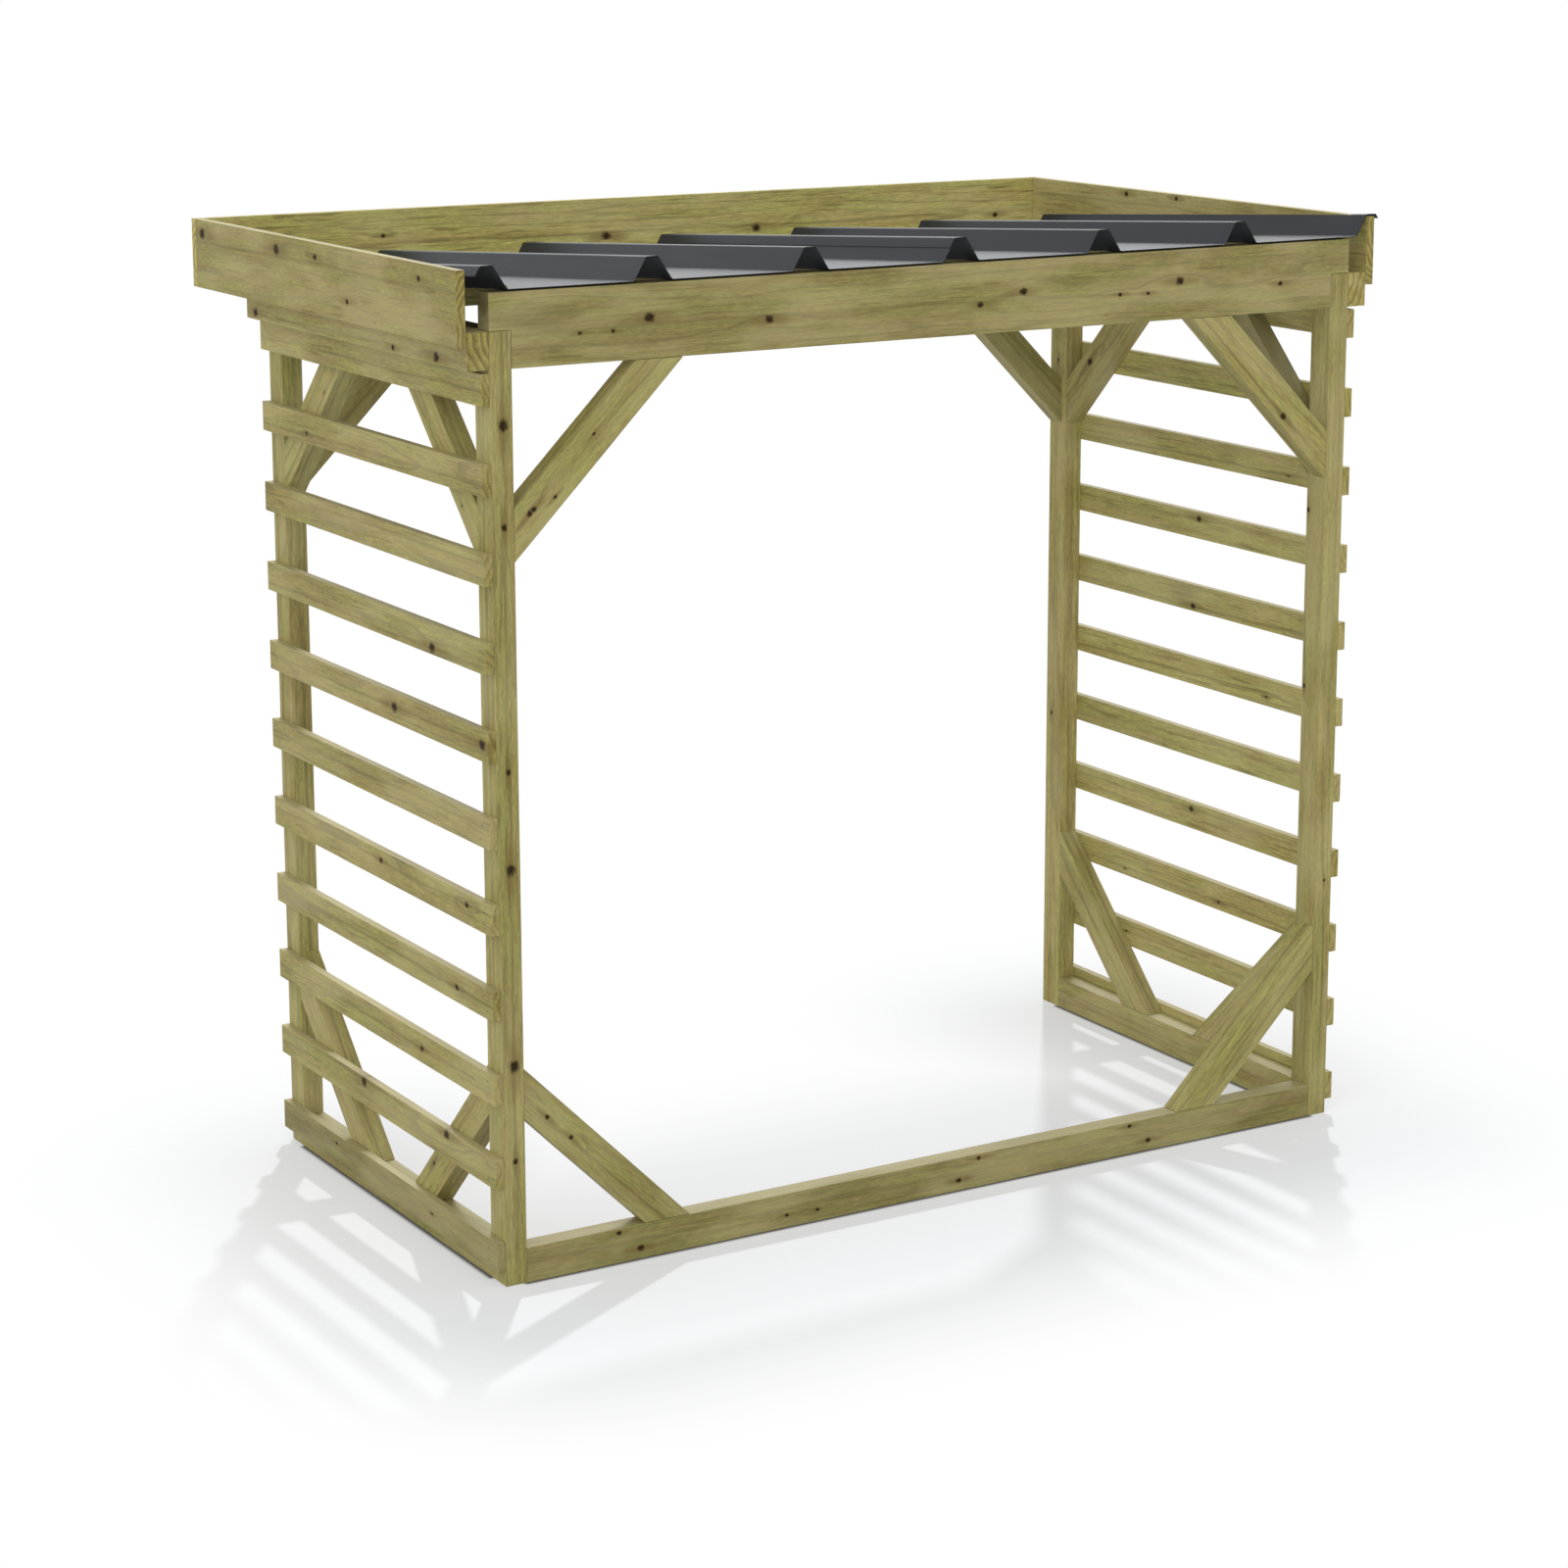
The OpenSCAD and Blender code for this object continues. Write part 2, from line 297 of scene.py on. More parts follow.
# Grains of the finishes: how dense their noise is along each axis, its detail and its roughness
Grain = namedtuple("Grain", "density detail roughness", defaults=(2.0, 0.5))
RAGGED_RIM = Grain((120.0, 200.0, 200.0), 3.0)
HEART_WANDER = Grain((1.3, 8.0, 8.0))
RING_JITTER = Grain((3.5, 42.0, 42.0), 3.0)
STREAK = Grain((5.0, 170.0, 170.0), 3.0, 0.6)
BAND = Grain((1.5, 34.0, 34.0), 3.0, 0.55)
FIBRE = Grain((50.0, 340.0, 340.0), 3.0, 0.7)
CLOUD = Grain((4.0, 14.0, 14.0), 3.0)
PORE = Grain((8.0, 170.0, 170.0))
PATCH = Grain((7.0, 24.0, 24.0), 4.0, 0.6)
LINE_SWAY = Grain((2.4, 3.0, 3.0), 3.0)
SHEET_CLOUD = Grain((7.0, 3.0, 20.0), 4.0, 0.6)
SHEET_SPECK = Grain((240.0, 240.0, 240.0))
SHEET_RUN = Grain((60.0, 2.0, 60.0), 3.0)
RUST_SPOT = Grain((420.0, 420.0, 420.0), 3.0)
RUST_BLOOM = Grain((9.0, 9.0, 9.0))
RUBBER_GRAIN = Grain((900.0, 900.0, 900.0))

# Ramps of the finishes: a smooth step from start at low to end at high
Ramp = namedtuple("Ramp", "low high start end", defaults=(0.0, 1.0))
KNOT_SWELL = Ramp(0.0, 3.6, 1.0, 0.0)
BESIDE_KNOT = Ramp(0.6, 3.2, 1.0, 0.0)
LATE_RISE = Ramp(0.72, 0.94)
LATE_FALL = Ramp(0.95, 1.0, 1.0, 0.0)
GREEN_SHARE = Ramp(0.36, 0.64)
RING_STRENGTH = Ramp(0.0, 1.0, 0.26, 0.95)
RING_CLOUD = Ramp(0.3, 0.7, 0.5, 1.0)
STREAK_SHADE = Ramp(0.33, 0.67, 0.89, 1.11)
PATCH_SHADE = Ramp(0.3, 0.7, 0.93, 1.07)
BAND_SHADE = Ramp(0.3, 0.7, 0.94, 1.06)
FIBRE_SHADE = Ramp(0.36, 0.64, 0.80, 1.20)
PORE_COVER = Ramp(0.585, 0.655, 0.0, 0.66)
LINE_BREAKS = Ramp(0.35, 0.55)
LINE_EDGE = Ramp(0.0012, 0.0050)
SAWN_END = Ramp(0.45, 0.75)
END_RING = Ramp(0.1, 0.9)
UPWARD = Ramp(0.75, 0.98)
WEATHERED = Ramp(0.35, 0.65, 0.08, 0.34)
HALO_COVER = Ramp(0.45, 1.7, 0.5, 0.0)
CORE_COVER = Ramp(0.40, 1.28, 0.97, 0.0)
KNOT_RIM_IN = Ramp(0.7, 1.0)
KNOT_RIM_OUT = Ramp(1.0, 1.4, 1.0, 0.0)
STREAK_ROUGHNESS = Ramp(0.2, 0.8, -0.05, 0.07)
PAINT_CLOUD = Ramp(0.3, 0.7, 0.92, 1.08)
PAINT_SPECK = Ramp(0.2, 0.8, 0.95, 1.05)
PAINT_ROUGHNESS = Ramp(0.25, 0.75, 0.36, 0.44)
DUST_LEVEL = Ramp(0.002, 0.012, 1.0, 0.0)
DUST_RUN = Ramp(0.45, 0.75)
DUST_CLOUD = Ramp(0.4, 0.65, 0.05, 0.35)
# Painted shade on the back coat: darker near the flat of the sheet than at the crowns
BACK_PAINTED_SHADE = Ramp(0.006, 0.040, 0.3, 1.0)
RUST_SPOT_COVER = Ramp(0.45, 0.7)
RUST_BLOOM_COVER = Ramp(0.35, 0.7)
RUBBER_SHADE = Ramp(0.2, 0.8, 0.8, 1.3)
RUBBER_ROUGHNESS = Ramp(0.2, 0.8, 0.65, 0.85)

# How far the grains move the rims of knots, the rings and the dark lines
RAGGEDNESS = 1.05
SWELL_REACH = 0.009
WANDER_REACH = 0.06
JITTER_REACH = 0.85
LINE_BEND = 0.03

# Knots: strength of the rings beside one, how much of the way along counts, and a distance beyond them all
KNOT_RING_STRENGTH = 0.28
KNOT_LENGTHWAYS = 0.8
FLOW_LENGTHWAYS = 0.2
OUT_OF_REACH = 50.0

# Roughness, shine and relief of the finishes
Relief = namedtuple("Relief", "depth strength")
PINE_RELIEF = Relief(0.0006, 0.5)
PAINT_RELIEF = Relief(0.0002, 0.2)
ZINC_RELIEF = Relief(0.0002, 0.4)
RUBBER_RELIEF = Relief(0.0001, 0.4)
LATE_HEIGHT, FIBRE_HEIGHT, STREAK_HEIGHT = 0.5, 0.45, 0.6
SPECK_HEIGHT, CLOUD_HEIGHT = 0.4, 0.6
EARLY_ROUGHNESS, LATE_ROUGHNESS = 0.60, 0.50
WOOD_SHINE, KNOT_SHINE, PAINT_SHINE = 0.25, 0.08, 0.235
DUST_ROUGHNESS, BACK_ROUGHNESS = 0.25, 0.95
ZINC_ROUGHNESS, RUST_ROUGHNESS = 0.42, 0.85
ZINC_METAL, RUST_METAL = 0.75, 0.1

# How much the end grain and the painted highlight on upper faces cover on each kind of board
Covers = namedtuple("Covers", "end top")
PINE_COVERS = {SLAT_PINE: Covers(0.5, 0.42), FRAME_PINE: Covers(0.9, 0.30), FASCIA_PINE: Covers(0.9, 0.30)}


def length_setting(name, description, default, least=0.0):
    """A length that a user can change."""
    return FloatProperty(name=name, description=description, default=default, min=least, unit="LENGTH")


def angle_setting(name, description, degrees):
    """An angle that a user can change."""
    return FloatProperty(name=name, description=description, default=math.radians(degrees), subtype="ANGLE")


def share_setting(name, description, default):
    """A share that a user can change."""
    return FloatProperty(name=name, description=description, default=default, subtype="FACTOR")


def number_setting(name, description, default):
    """A number that a user can change."""
    return FloatProperty(name=name, description=description, default=default)


def count_setting(name, description, default, least):
    """A whole number that a user can change."""
    return IntProperty(name=name, description=description, default=default, min=least)


def colour_setting(name, description, default):
    """A colour that a user can change."""
    return FloatVectorProperty(name=name, description=description, default=default, subtype="COLOR")


class LogStoreTimber(bpy.types.PropertyGroup):
    """Sizes of the boards' shape and grain."""

    arris_radius: length_setting("Arris radius", "Rounding of the boards' edges", 0.0014, 0.0005)
    arris_steps: count_setting("Arris steps", "Faces across a rounded edge", 3, 1)
    cut_spacing: length_setting(
        "Cut spacing", "Distance between the cross cuts that carry a board's unevenness", 0.03, 0.01
    )
    skin: length_setting("Planed skin", "How far a planed face lies inside its nominal place", 0.0002)
    unevenness: length_setting("Unevenness", "Most that a planed face dips below its own plane", 0.0004)
    brace_width: length_setting("Brace width", "Width of a brace across its broad face", 0.07)
    slat_height: length_setting("Slat height", "Height of one side slat", 0.06)
    slat_count: count_setting("Slats", "Number of slats on each side", 11, 2)
    ring_width: length_setting("Ring width", "Usual width of a growth ring", 0.0125)
    knots_per_metre: number_setting(
        "Knots per metre", "How many knots a board has where none were placed by eye", 0.8
    )


class LogStoreRoof(bpy.types.PropertyGroup):
    """Sizes of the folded roof sheets."""

    rib_count: count_setting("Ribs", "Ribs across the roof", 7, 3)
    rib_height: length_setting("Rib height", "Height of a rib above the flat of the sheet", 0.044)
    rib_crown: length_setting("Rib crown", "Width of a rib at its crown", 0.024)
    rib_foot: length_setting("Rib foot", "Width of a rib at its foot", 0.078)
    thickness: length_setting("Sheet thickness", "Thickness of the steel with its paint", 0.001)
    bend_radius: length_setting("Bend radius", "Inside radius of the folds", 0.004)
    length: length_setting("Sheet length", "Length of a sheet down the slope", 1.165)
    first_rib_inset: length_setting(
        "First rib inset", "Distance from the left fascia to the middle of the first rib", 0.044
    )
    cap_length: length_setting(
        "Cap length", "Length of the cap that the last rib makes over the right fascia's front end", 0.05
    )
    clearance: length_setting("Clearance", "Gap between the sheets where they lap", 0.0003)
    free_leg: share_setting(
        "Free leg", "Share of a rib's height that the leg at a sheet's left edge comes down", 0.4
    )
    covered_leg: share_setting(
        "Covered leg", "Share of a rib's height that the leg under the lap comes down", 0.75
    )
    cap_leg: share_setting(
        "Cap leg", "Share of a rib's height that the cap over the right fascia comes down", 0.2
    )
    waviness: length_setting("Waviness", "Most that the flats of a sheet dip between the folds", 0.0004)


class LogStoreFixings(bpy.types.PropertyGroup):
    """Sizes of the nails and roof screws."""

    nail_radius: length_setting("Nail head radius", "Radius of a nail's head", 0.0021)
    nail_edge: length_setting("Nail edge distance", "Distance from a nail to the edge of its slat", 0.016)
    nail_spacing: length_setting("Nail spacing", "Distance between nails along a fascia board", 0.24)
    screw_head: length_setting(
        "Screw head radius", "Radius of a roof screw's six-sided head, over its corners", 0.0046
    )
    washer_radius: length_setting("Washer radius", "Radius of the sealing washer under a roof screw", 0.007)


class LogStoreColours(bpy.types.PropertyGroup):
    """Colours of the finishes, in linear light."""

    pine_brown: colour_setting("Pine, brown", "Browner areas of the treated pine", (0.272, 0.213, 0.063))
    pine_green: colour_setting(
        "Pine, green", "Areas where the green treatment shows", (0.232, 0.221, 0.055)
    )
    pine_late: colour_setting("Pine, late wood", "Dark lines of the growth rings", (0.112, 0.086, 0.018))
    # Weathered clouds are the wood's own colour; on upper faces the same pale colour is a painted highlight
    pine_weathered_and_top_light: colour_setting(
        "Pine, weathered", "Weathered clouds and bleached upper faces", (0.56, 0.490, 0.250)
    )
    # Painted shade: the colour that upper faces and ends under the roof take on, standing in for the shade
    # there
    pine_painted_shade: colour_setting(
        "Pine, covered", "Dirt and mould on upper faces and ends under the roof", (0.045, 0.038, 0.012)
    )
    pine_end: colour_setting(
        "Pine, end grain", "Sawn ends, where more treatment has soaked in", (0.330, 0.270, 0.055)
    )
    pine_end_ring: colour_setting(
        "Pine, end rings", "Dark rings that show on the sawn ends", (0.125, 0.095, 0.014)
    )
    knot_core: colour_setting("Knot", "Dark heart of a knot", (0.022, 0.010, 0.004))
    knot_halo: colour_setting("Knot halo", "Resin-stained wood around a knot", (0.140, 0.092, 0.018))
    roof_paint: colour_setting(
        "Roof paint", "Anthracite paint on the weather side of the roof sheets", (0.0145, 0.0180, 0.0240)
    )
    # The coat's darkening towards the flats is painted shade
    roof_back: colour_setting(
        "Roof back coat", "Dark coat on the underside of the roof sheets", (0.030, 0.032, 0.036)
    )
    roof_dust: colour_setting("Roof dust", "Dust that dries on the flats of the roof", (0.10, 0.10, 0.10))
    nail_steel: colour_setting("Nail steel", "Dull zinc of the nail heads", (0.16, 0.14, 0.07))
    nail_rust: colour_setting("Nail rust", "Rust on the nail heads", (0.11, 0.052, 0.02))
    washer_rubber: colour_setting(
        "Washer rubber", "Sealing washers of the roof screws", (0.02, 0.02, 0.021)
    )
    floor: colour_setting("Floor", "Plain pale studio floor", (0.800, 0.810, 0.834))
    # Painted contact shadow: colour of the dark line on the floor along the bottom rails
    contact_shadow_line: colour_setting(
        "Foot line",
        "Colour of the dark line on the floor where the bottom rails stand",
        (0.02, 0.016, 0.012),
    )
    floor_bounce: colour_setting(
        "Floor bounce", "How much light the floor throws back up at the store", (0.50, 0.50, 0.50)
    )


class LogStoreStudio(bpy.types.PropertyGroup):
    """Camera and light of the studio."""

    camera_place: FloatVectorProperty(
        name="Camera place",
        description="Where the camera stands",
        default=(-3.94527, -6.60953, 2.59691),
        subtype="TRANSLATION",
    )
    camera_pitch: angle_setting("Camera pitch", "How far the camera looks below the horizon", 11.92)
    camera_yaw: angle_setting(
        "Camera yaw", "How far the camera is turned to its right from straight ahead", 31.38
    )
    focal_pixels: number_setting(
        "Focal length in pixels", "Focal length measured in pixels of the photograph", 3815.59
    )
    middle_across: number_setting(
        "Optical middle, across", "Pixel of the photograph that the lens points at, from the left", 839.47
    )
    middle_down: number_setting(
        "Optical middle, down", "Pixel of the photograph that the lens points at, from the top", 682.73
    )
    sky_strength: number_setting("Sky strength", "Strength of the even white light from all round", 0.63)
    sun_strength: number_setting(
        "Sun strength", "Strength of the lamp that throws the store's shadow on the floor", 1.9
    )
    sun_height: angle_setting("Sun height", "Height of that lamp above the horizon", 41.0)
    sun_turn: angle_setting(
        "Sun turn", "Turn of that lamp from straight behind the store towards its right", 35.0
    )
    sun_spread: angle_setting("Sun spread", "Apparent size of that lamp, which softens its shadow", 2.0)
    back_strength: number_setting(
        "Back light strength", "Strength of the soft lamp that lights the store from the sun's side", 2.1
    )
    back_spread: angle_setting(
        "Back light spread", "Apparent size of the soft lamp on the sun's side", 34.0
    )
    front_strength: number_setting("Front light strength", "Strength of the soft lamp in front", 1.0)
    front_height: angle_setting(
        "Front light height", "Height of the soft lamp in front above the horizon", 32.0
    )
    front_turn: angle_setting(
        "Front light turn",
        "Turn of the soft lamp in front from straight behind the store towards its right",
        215.0,
    )
    front_spread: angle_setting("Front light spread", "Apparent size of the soft lamp in front", 80.0)
    fill_strength: number_setting(
        "Fill strength", "Strength of the even lamp on the left that throws no shadow", 1.08
    )
    fill_height: angle_setting("Fill height", "Height of the fill lamp above the horizon", 5.0)
    fill_turn: angle_setting(
        "Fill turn", "Turn of the fill lamp from straight behind the store towards its right", 236.0
    )
    floor_radius: length_setting("Floor radius", "Radius of the floor", 14.0)
    shadow_share: share_setting(
        "Shadow share", "How much of the shadow shows on the floor beside the store", 0.53
    )
    # Painted shade: the floor's brightness right beside the store and inside its front, darker than the open
    # floor
    painted_shade_level: share_setting("Floor dimming", "Brightness of the floor right beside the store", 0.87)
    # The painted shade and the fading of the cast shadow are centred this far in front of the bottom rails
    shadow_lean: length_setting(
        "Shadow lean", "How far in front of the bottom rails the floor's shadow is at its darkest", 0.12
    )
    # Painted contact shadow along the bottom rails: its width, and how dark it is
    contact_shadow_line: length_setting(
        "Foot line", "Width of the dark line on the floor where the bottom rails stand", 0.014
    )
    contact_shadow_share: share_setting(
        "Foot line strength",
        "How much of the floor's colour the dark line covers right beside the rails",
        0.9,
    )
    # Inside the store the floor keeps the painted shade and the full share of the cast shadow this far behind
    # the front rail
    shadow_depth: length_setting(
        "Shadow depth", "How far behind the front rail the floor inside the store stays in its shadow", 0.28
    )
    # Reach of the painted shade on the floor
    painted_shade_reach: length_setting(
        "Floor dimming reach", "Distance from the store at which the floor is white", 0.48
    )
    fade_start: length_setting(
        "Fade start", "Distance from the store at which its shadow starts to fade", 0.1
    )
    fade_end: length_setting("Fade end", "Distance from the store at which its shadow is gone", 0.76)


def opaque(colour):
    """A colour with full cover."""
    return (*colour, 1.0)


class Nodes:
    """Adds and joins the nodes of one material or sky."""

    def __init__(self, owner):
        owner.use_nodes = True
        self.tree = owner.node_tree
        self.tree.nodes.clear()

    def feed(self, socket, value):
        """Joins a socket to another, or sets its value."""
        if isinstance(value, bpy.types.NodeSocket):
            self.tree.links.new(value, socket)
        else:
            socket.default_value = value

    def node(self, kind, inputs=None, **settings):
        """A new node with its settings and inputs."""
        made = self.tree.nodes.new(kind)
        for key, value in settings.items():
            setattr(made, key, value)
        for key, value in (inputs or {}).items():
            self.feed(made.inputs[key], value)
        return made

    def attribute(self, name):
        """A vector that the mesh carries."""
        return self.node("ShaderNodeAttribute", attribute_name=name).outputs["Vector"]

    def amount(self, name):
        """A number that the mesh carries."""
        return self.node("ShaderNodeAttribute", attribute_name=name).outputs["Fac"]

    def geometry(self, output):
        """The normal or the position of the place that is shaded."""
        return self.node("ShaderNodeNewGeometry").outputs[output]

    def parts(self, vector):
        """The three parts of a vector."""
        return self.node("ShaderNodeSeparateXYZ", {0: vector}).outputs

    def join(self, x, y, z):
        """A vector from three numbers."""
        return self.node("ShaderNodeCombineXYZ", {0: x, 1: y, 2: z}).outputs[0]

    def sum(self, operation, first, second=0.0):
        """A sum of one or two numbers."""
        return self.node("ShaderNodeMath", {0: first, 1: second}, operation=operation).outputs[0]

    def plus(self, first, *others):
        """Numbers added up."""
        for other in others:
            first = self.sum("ADD", first, other)
        return first

    def minus(self, first, second):
        """A number less another."""
        return self.sum("SUBTRACT", first, second)

    def times(self, first, *others):
        """Numbers multiplied."""
        for other in others:
            first = self.sum("MULTIPLY", first, other)
        return first

    def swing(self, value, reach):
        """A value between 0 and 1 as a swing to both sides."""
        return self.times(self.minus(value, 0.5), reach)

    def vector(self, operation, first, second=(0.0, 0.0, 0.0)):
        """A sum of one or two vectors that gives a vector."""
        return self.node("ShaderNodeVectorMath", {0: first, 1: second}, operation=operation).outputs["Vector"]

    def length(self, vector):
        """The length of a vector."""
        return self.node("ShaderNodeVectorMath", {0: vector}, operation="LENGTH").outputs["Value"]

    def dot(self, first, second):
        """The dot product of two vectors."""
        made = self.node("ShaderNodeVectorMath", {0: first, 1: second}, operation="DOT_PRODUCT")
        return made.outputs["Value"]

    def noise(self, place, grain, output="Fac"):
        """The noise of a grain over a place."""
        scaled = self.vector("MULTIPLY", place, grain.density)
        inputs = {"Vector": scaled, "Scale": 1.0, "Detail": grain.detail, "Roughness": grain.roughness}
        return self.node("ShaderNodeTexNoise", inputs).outputs[output]

    def ease(self, value, ramp):
        """A value that goes smoothly along a ramp."""
        ends = {"From Min": ramp.low, "From Max": ramp.high, "To Min": ramp.start, "To Max": ramp.end}
        made = self.node("ShaderNodeMapRange", {"Value": value, **ends}, interpolation_type="SMOOTHSTEP")
        return made.outputs["Result"]

    def blend(self, share, first, second, way="MIX"):
        """A mix of two colours."""
        inputs = {0: share, 6: first, 7: second}
        settings = {"data_type": "RGBA", "blend_type": way, "clamp_factor": True}
        return self.node("ShaderNodeMix", inputs, **settings).outputs[2]

    def choose(self, share, first, second):
        """A mix of two numbers."""
        return self.node("ShaderNodeMix", {0: share, 2: first, 3: second}, data_type="FLOAT").outputs[0]

    def brighten(self, colour, factor):
        """A colour times a number."""
        grey = self.join(factor, factor, factor)
        return self.blend(1.0, colour, grey, "MULTIPLY")

    def bump(self, height, relief):
        """A normal from a height."""
        inputs = {"Height": height, "Distance": relief.depth, "Strength": relief.strength}
        return self.node("ShaderNodeBump", inputs).outputs["Normal"]

    def mix_shaders(self, share, first, second):
        """A mix of two shaders."""
        return self.node("ShaderNodeMixShader", {0: share, 1: first, 2: second}).outputs[0]

    def seen_directly(self):
        """A share that is 1 for what the camera sees, straight or by reflection or through glass."""
        path = self.node("ShaderNodeLightPath").outputs
        reflected = self.sum("MAXIMUM", path["Is Camera Ray"], path["Is Glossy Ray"])
        return self.sum("MAXIMUM", reflected, path["Is Transmission Ray"])


class Finish(Nodes):
    """The nodes of one material."""

    def __init__(self, name):
        self.material = bpy.data.materials.new(name)
        super().__init__(self.material)

    def surface(self, inputs):
        """Ends the material in a principled shader with these inputs."""
        return self.end(self.node("ShaderNodeBsdfPrincipled", inputs).outputs[0])

    def end(self, shader):
        """Ends the material in a shader."""
        self.node("ShaderNodeOutputMaterial", {"Surface": shader})
        return self.material


class PineFinish(Finish):
    """Pressure-treated pine: rings cut through the board, green and brown streaks, knots, weathering, and
    painted light and shade on upper faces and ends.
    """

    def __init__(self, name, colours, covers):
        super().__init__(name)
        self.colours = colours
        self.covers = covers
        place = self.attribute("board_place")
        self.u, self.v, self.w = self.parts(place)
        self.seed, self.tone, self.greenness = self.parts(self.attribute("board_mark"))
        self.own_place = self.vector("ADD", place, self.join(self.seed, self.seed, self.seed))
        self.streak = self.noise(self.own_place, STREAK)
        self.fibre = self.noise(self.own_place, FIBRE)
        self.cloud = self.noise(self.own_place, CLOUD)
        self.knot, self.flow = self.nearest_knot()
        self.ring = self.growth_ring()
        self.ring_share = self.sum("FRACT", self.ring)
        self.late = self.times(self.ease(self.ring_share, LATE_RISE), self.ease(self.ring_share, LATE_FALL))

    def nearest_knot(self):
        """Distance to the nearest knot, where 1 is its ragged rim, and the same drawn out along the grain."""
        nearest, nearest_flow = OUT_OF_REACH, OUT_OF_REACH
        for index in range(KNOT_SLOTS):
            along, across, radius = self.parts(self.attribute(f"knot_{index}"))
            through_edge = self.sum("LESS_THAN", radius, 0.0)
            sideways = self.minus(self.choose(through_edge, self.v, self.w), across)
            lengthways = self.minus(self.u, along)
            size = self.sum("ABSOLUTE", radius)
            rim = self.length(self.join(self.times(lengthways, KNOT_LENGTHWAYS), sideways, 0.0))
            nearest = self.sum("MINIMUM", self.sum("DIVIDE", rim, size), nearest)
            flow = self.length(self.join(self.times(lengthways, FLOW_LENGTHWAYS), sideways, 0.0))
            nearest_flow = self.sum("MINIMUM", self.sum("DIVIDE", flow, size), nearest_flow)
        ragged = self.swing(self.noise(self.own_place, RAGGED_RIM), RAGGEDNESS)
        return self.plus(nearest, ragged), nearest_flow

    def growth_ring(self):
        """Number of the ring around a heart that wanders along the board, pushed aside by the knots."""
        heart_v, heart_w, ring_width = self.parts(self.attribute("board_heart"))
        wander = self.parts(self.noise(self.own_place, HEART_WANDER, "Color"))
        from_heart_v = self.plus(self.minus(self.v, heart_v), self.swing(wander[0], WANDER_REACH))
        from_heart_w = self.plus(self.minus(self.w, heart_w), self.swing(wander[1], WANDER_REACH))
        radius = self.length(self.join(from_heart_v, from_heart_w, 0.0))
        radius = self.plus(radius, self.times(self.ease(self.flow, KNOT_SWELL), SWELL_REACH))
        jitter = self.times(self.noise(self.own_place, RING_JITTER), JITTER_REACH)
        return self.plus(self.sum("DIVIDE", radius, ring_width), jitter)

    def treated_wood(self):
        """The green and brown that the treatment leaves, with the dark rings, and how bright the wood is."""
        colours = self.colours
        band = self.noise(self.own_place, BAND)
        patch = self.noise(self.own_place, PATCH)
        treatment = self.times(self.plus(band, patch), 0.5)
        green_share = self.ease(self.plus(treatment, self.greenness), GREEN_SHARE)
        colour = self.blend(green_share, opaque(colours.pine_brown), opaque(colours.pine_green))
        ring_seed = self.plus(self.sum("FLOOR", self.ring), self.seed)
        luck = self.node("ShaderNodeTexWhiteNoise", {"W": ring_seed}, noise_dimensions="1D").outputs["Value"]
        strength = self.times(self.ease(luck, RING_STRENGTH), self.ease(self.cloud, RING_CLOUD))
        beside_knot = self.times(self.ease(self.flow, BESIDE_KNOT), KNOT_RING_STRENGTH)
        late_share = self.times(self.late, self.plus(strength, beside_knot))
        colour = self.blend(late_share, colour, opaque(colours.pine_late))
        shade = self.times(
            self.ease(self.streak, STREAK_SHADE),
            self.ease(patch, PATCH_SHADE),
            self.ease(band, BAND_SHADE),
            self.ease(self.fibre, FIBRE_SHADE),
            self.tone,
        )
        return self.brighten(colour, shade), shade

    def with_dark_lines(self, colour):
        """Adds short pores, and one dark grain line that runs past the knots along the board."""
        dark = opaque(self.colours.pine_late)
        colour = self.blend(self.ease(self.noise(self.own_place, PORE), PORE_COVER), colour, dark)
        bend = self.swing(self.noise(self.own_place, LINE_SWAY), LINE_BEND)
        line_v, line_w, line_cover = self.parts(self.attribute("grain_line"))
        off_v = self.sum("ABSOLUTE", self.minus(self.plus(self.v, bend), line_v))
        off_w = self.sum("ABSOLUTE", self.minus(self.plus(self.w, bend), line_w))
        edge = LINE_EDGE._replace(start=line_cover, end=0.0)
        line = self.ease(self.sum("MINIMUM", off_v, off_w), edge)
        return self.blend(self.times(line, self.ease(self.streak, LINE_BREAKS)), colour, dark)

    def with_ends_and_tops(self, colour, shade):
        """Adds rings on sawn ends, a painted highlight on upper faces or, under the roof, painted shade on
        upper faces and ends, and weathered clouds.
        """
        colours = self.colours
        pale = opaque(colours.pine_weathered_and_top_light)
        normal = self.geometry("Normal")
        endwise = self.sum("ABSOLUTE", self.dot(normal, self.attribute("board_axis")))
        end_share = self.ease(endwise, SAWN_END._replace(end=self.covers.end))
        end_rings = self.ease(self.ring_share, END_RING)
        end_colour = self.blend(end_rings, opaque(colours.pine_end), opaque(colours.pine_end_ring))
        colour = self.blend(end_share, colour, self.brighten(end_colour, shade))
        upward = self.ease(self.parts(normal)[2], UPWARD)
        covered = self.amount("under_roof")
        # Painted shade: upper faces and ends under the roof are darkened
        roof_shade_faces = self.sum("MAXIMUM", upward, self.times(end_share, covered))
        colour = self.blend(self.times(roof_shade_faces, covered), colour, opaque(colours.pine_painted_shade))
        # Painted highlight: upper faces are lightened as if lit from above
        painted_top_light = self.times(upward, self.choose(covered, self.covers.top, 0.0))
        colour = self.blend(painted_top_light, colour, pale)
        return self.blend(self.ease(self.cloud, WEATHERED), colour, pale)

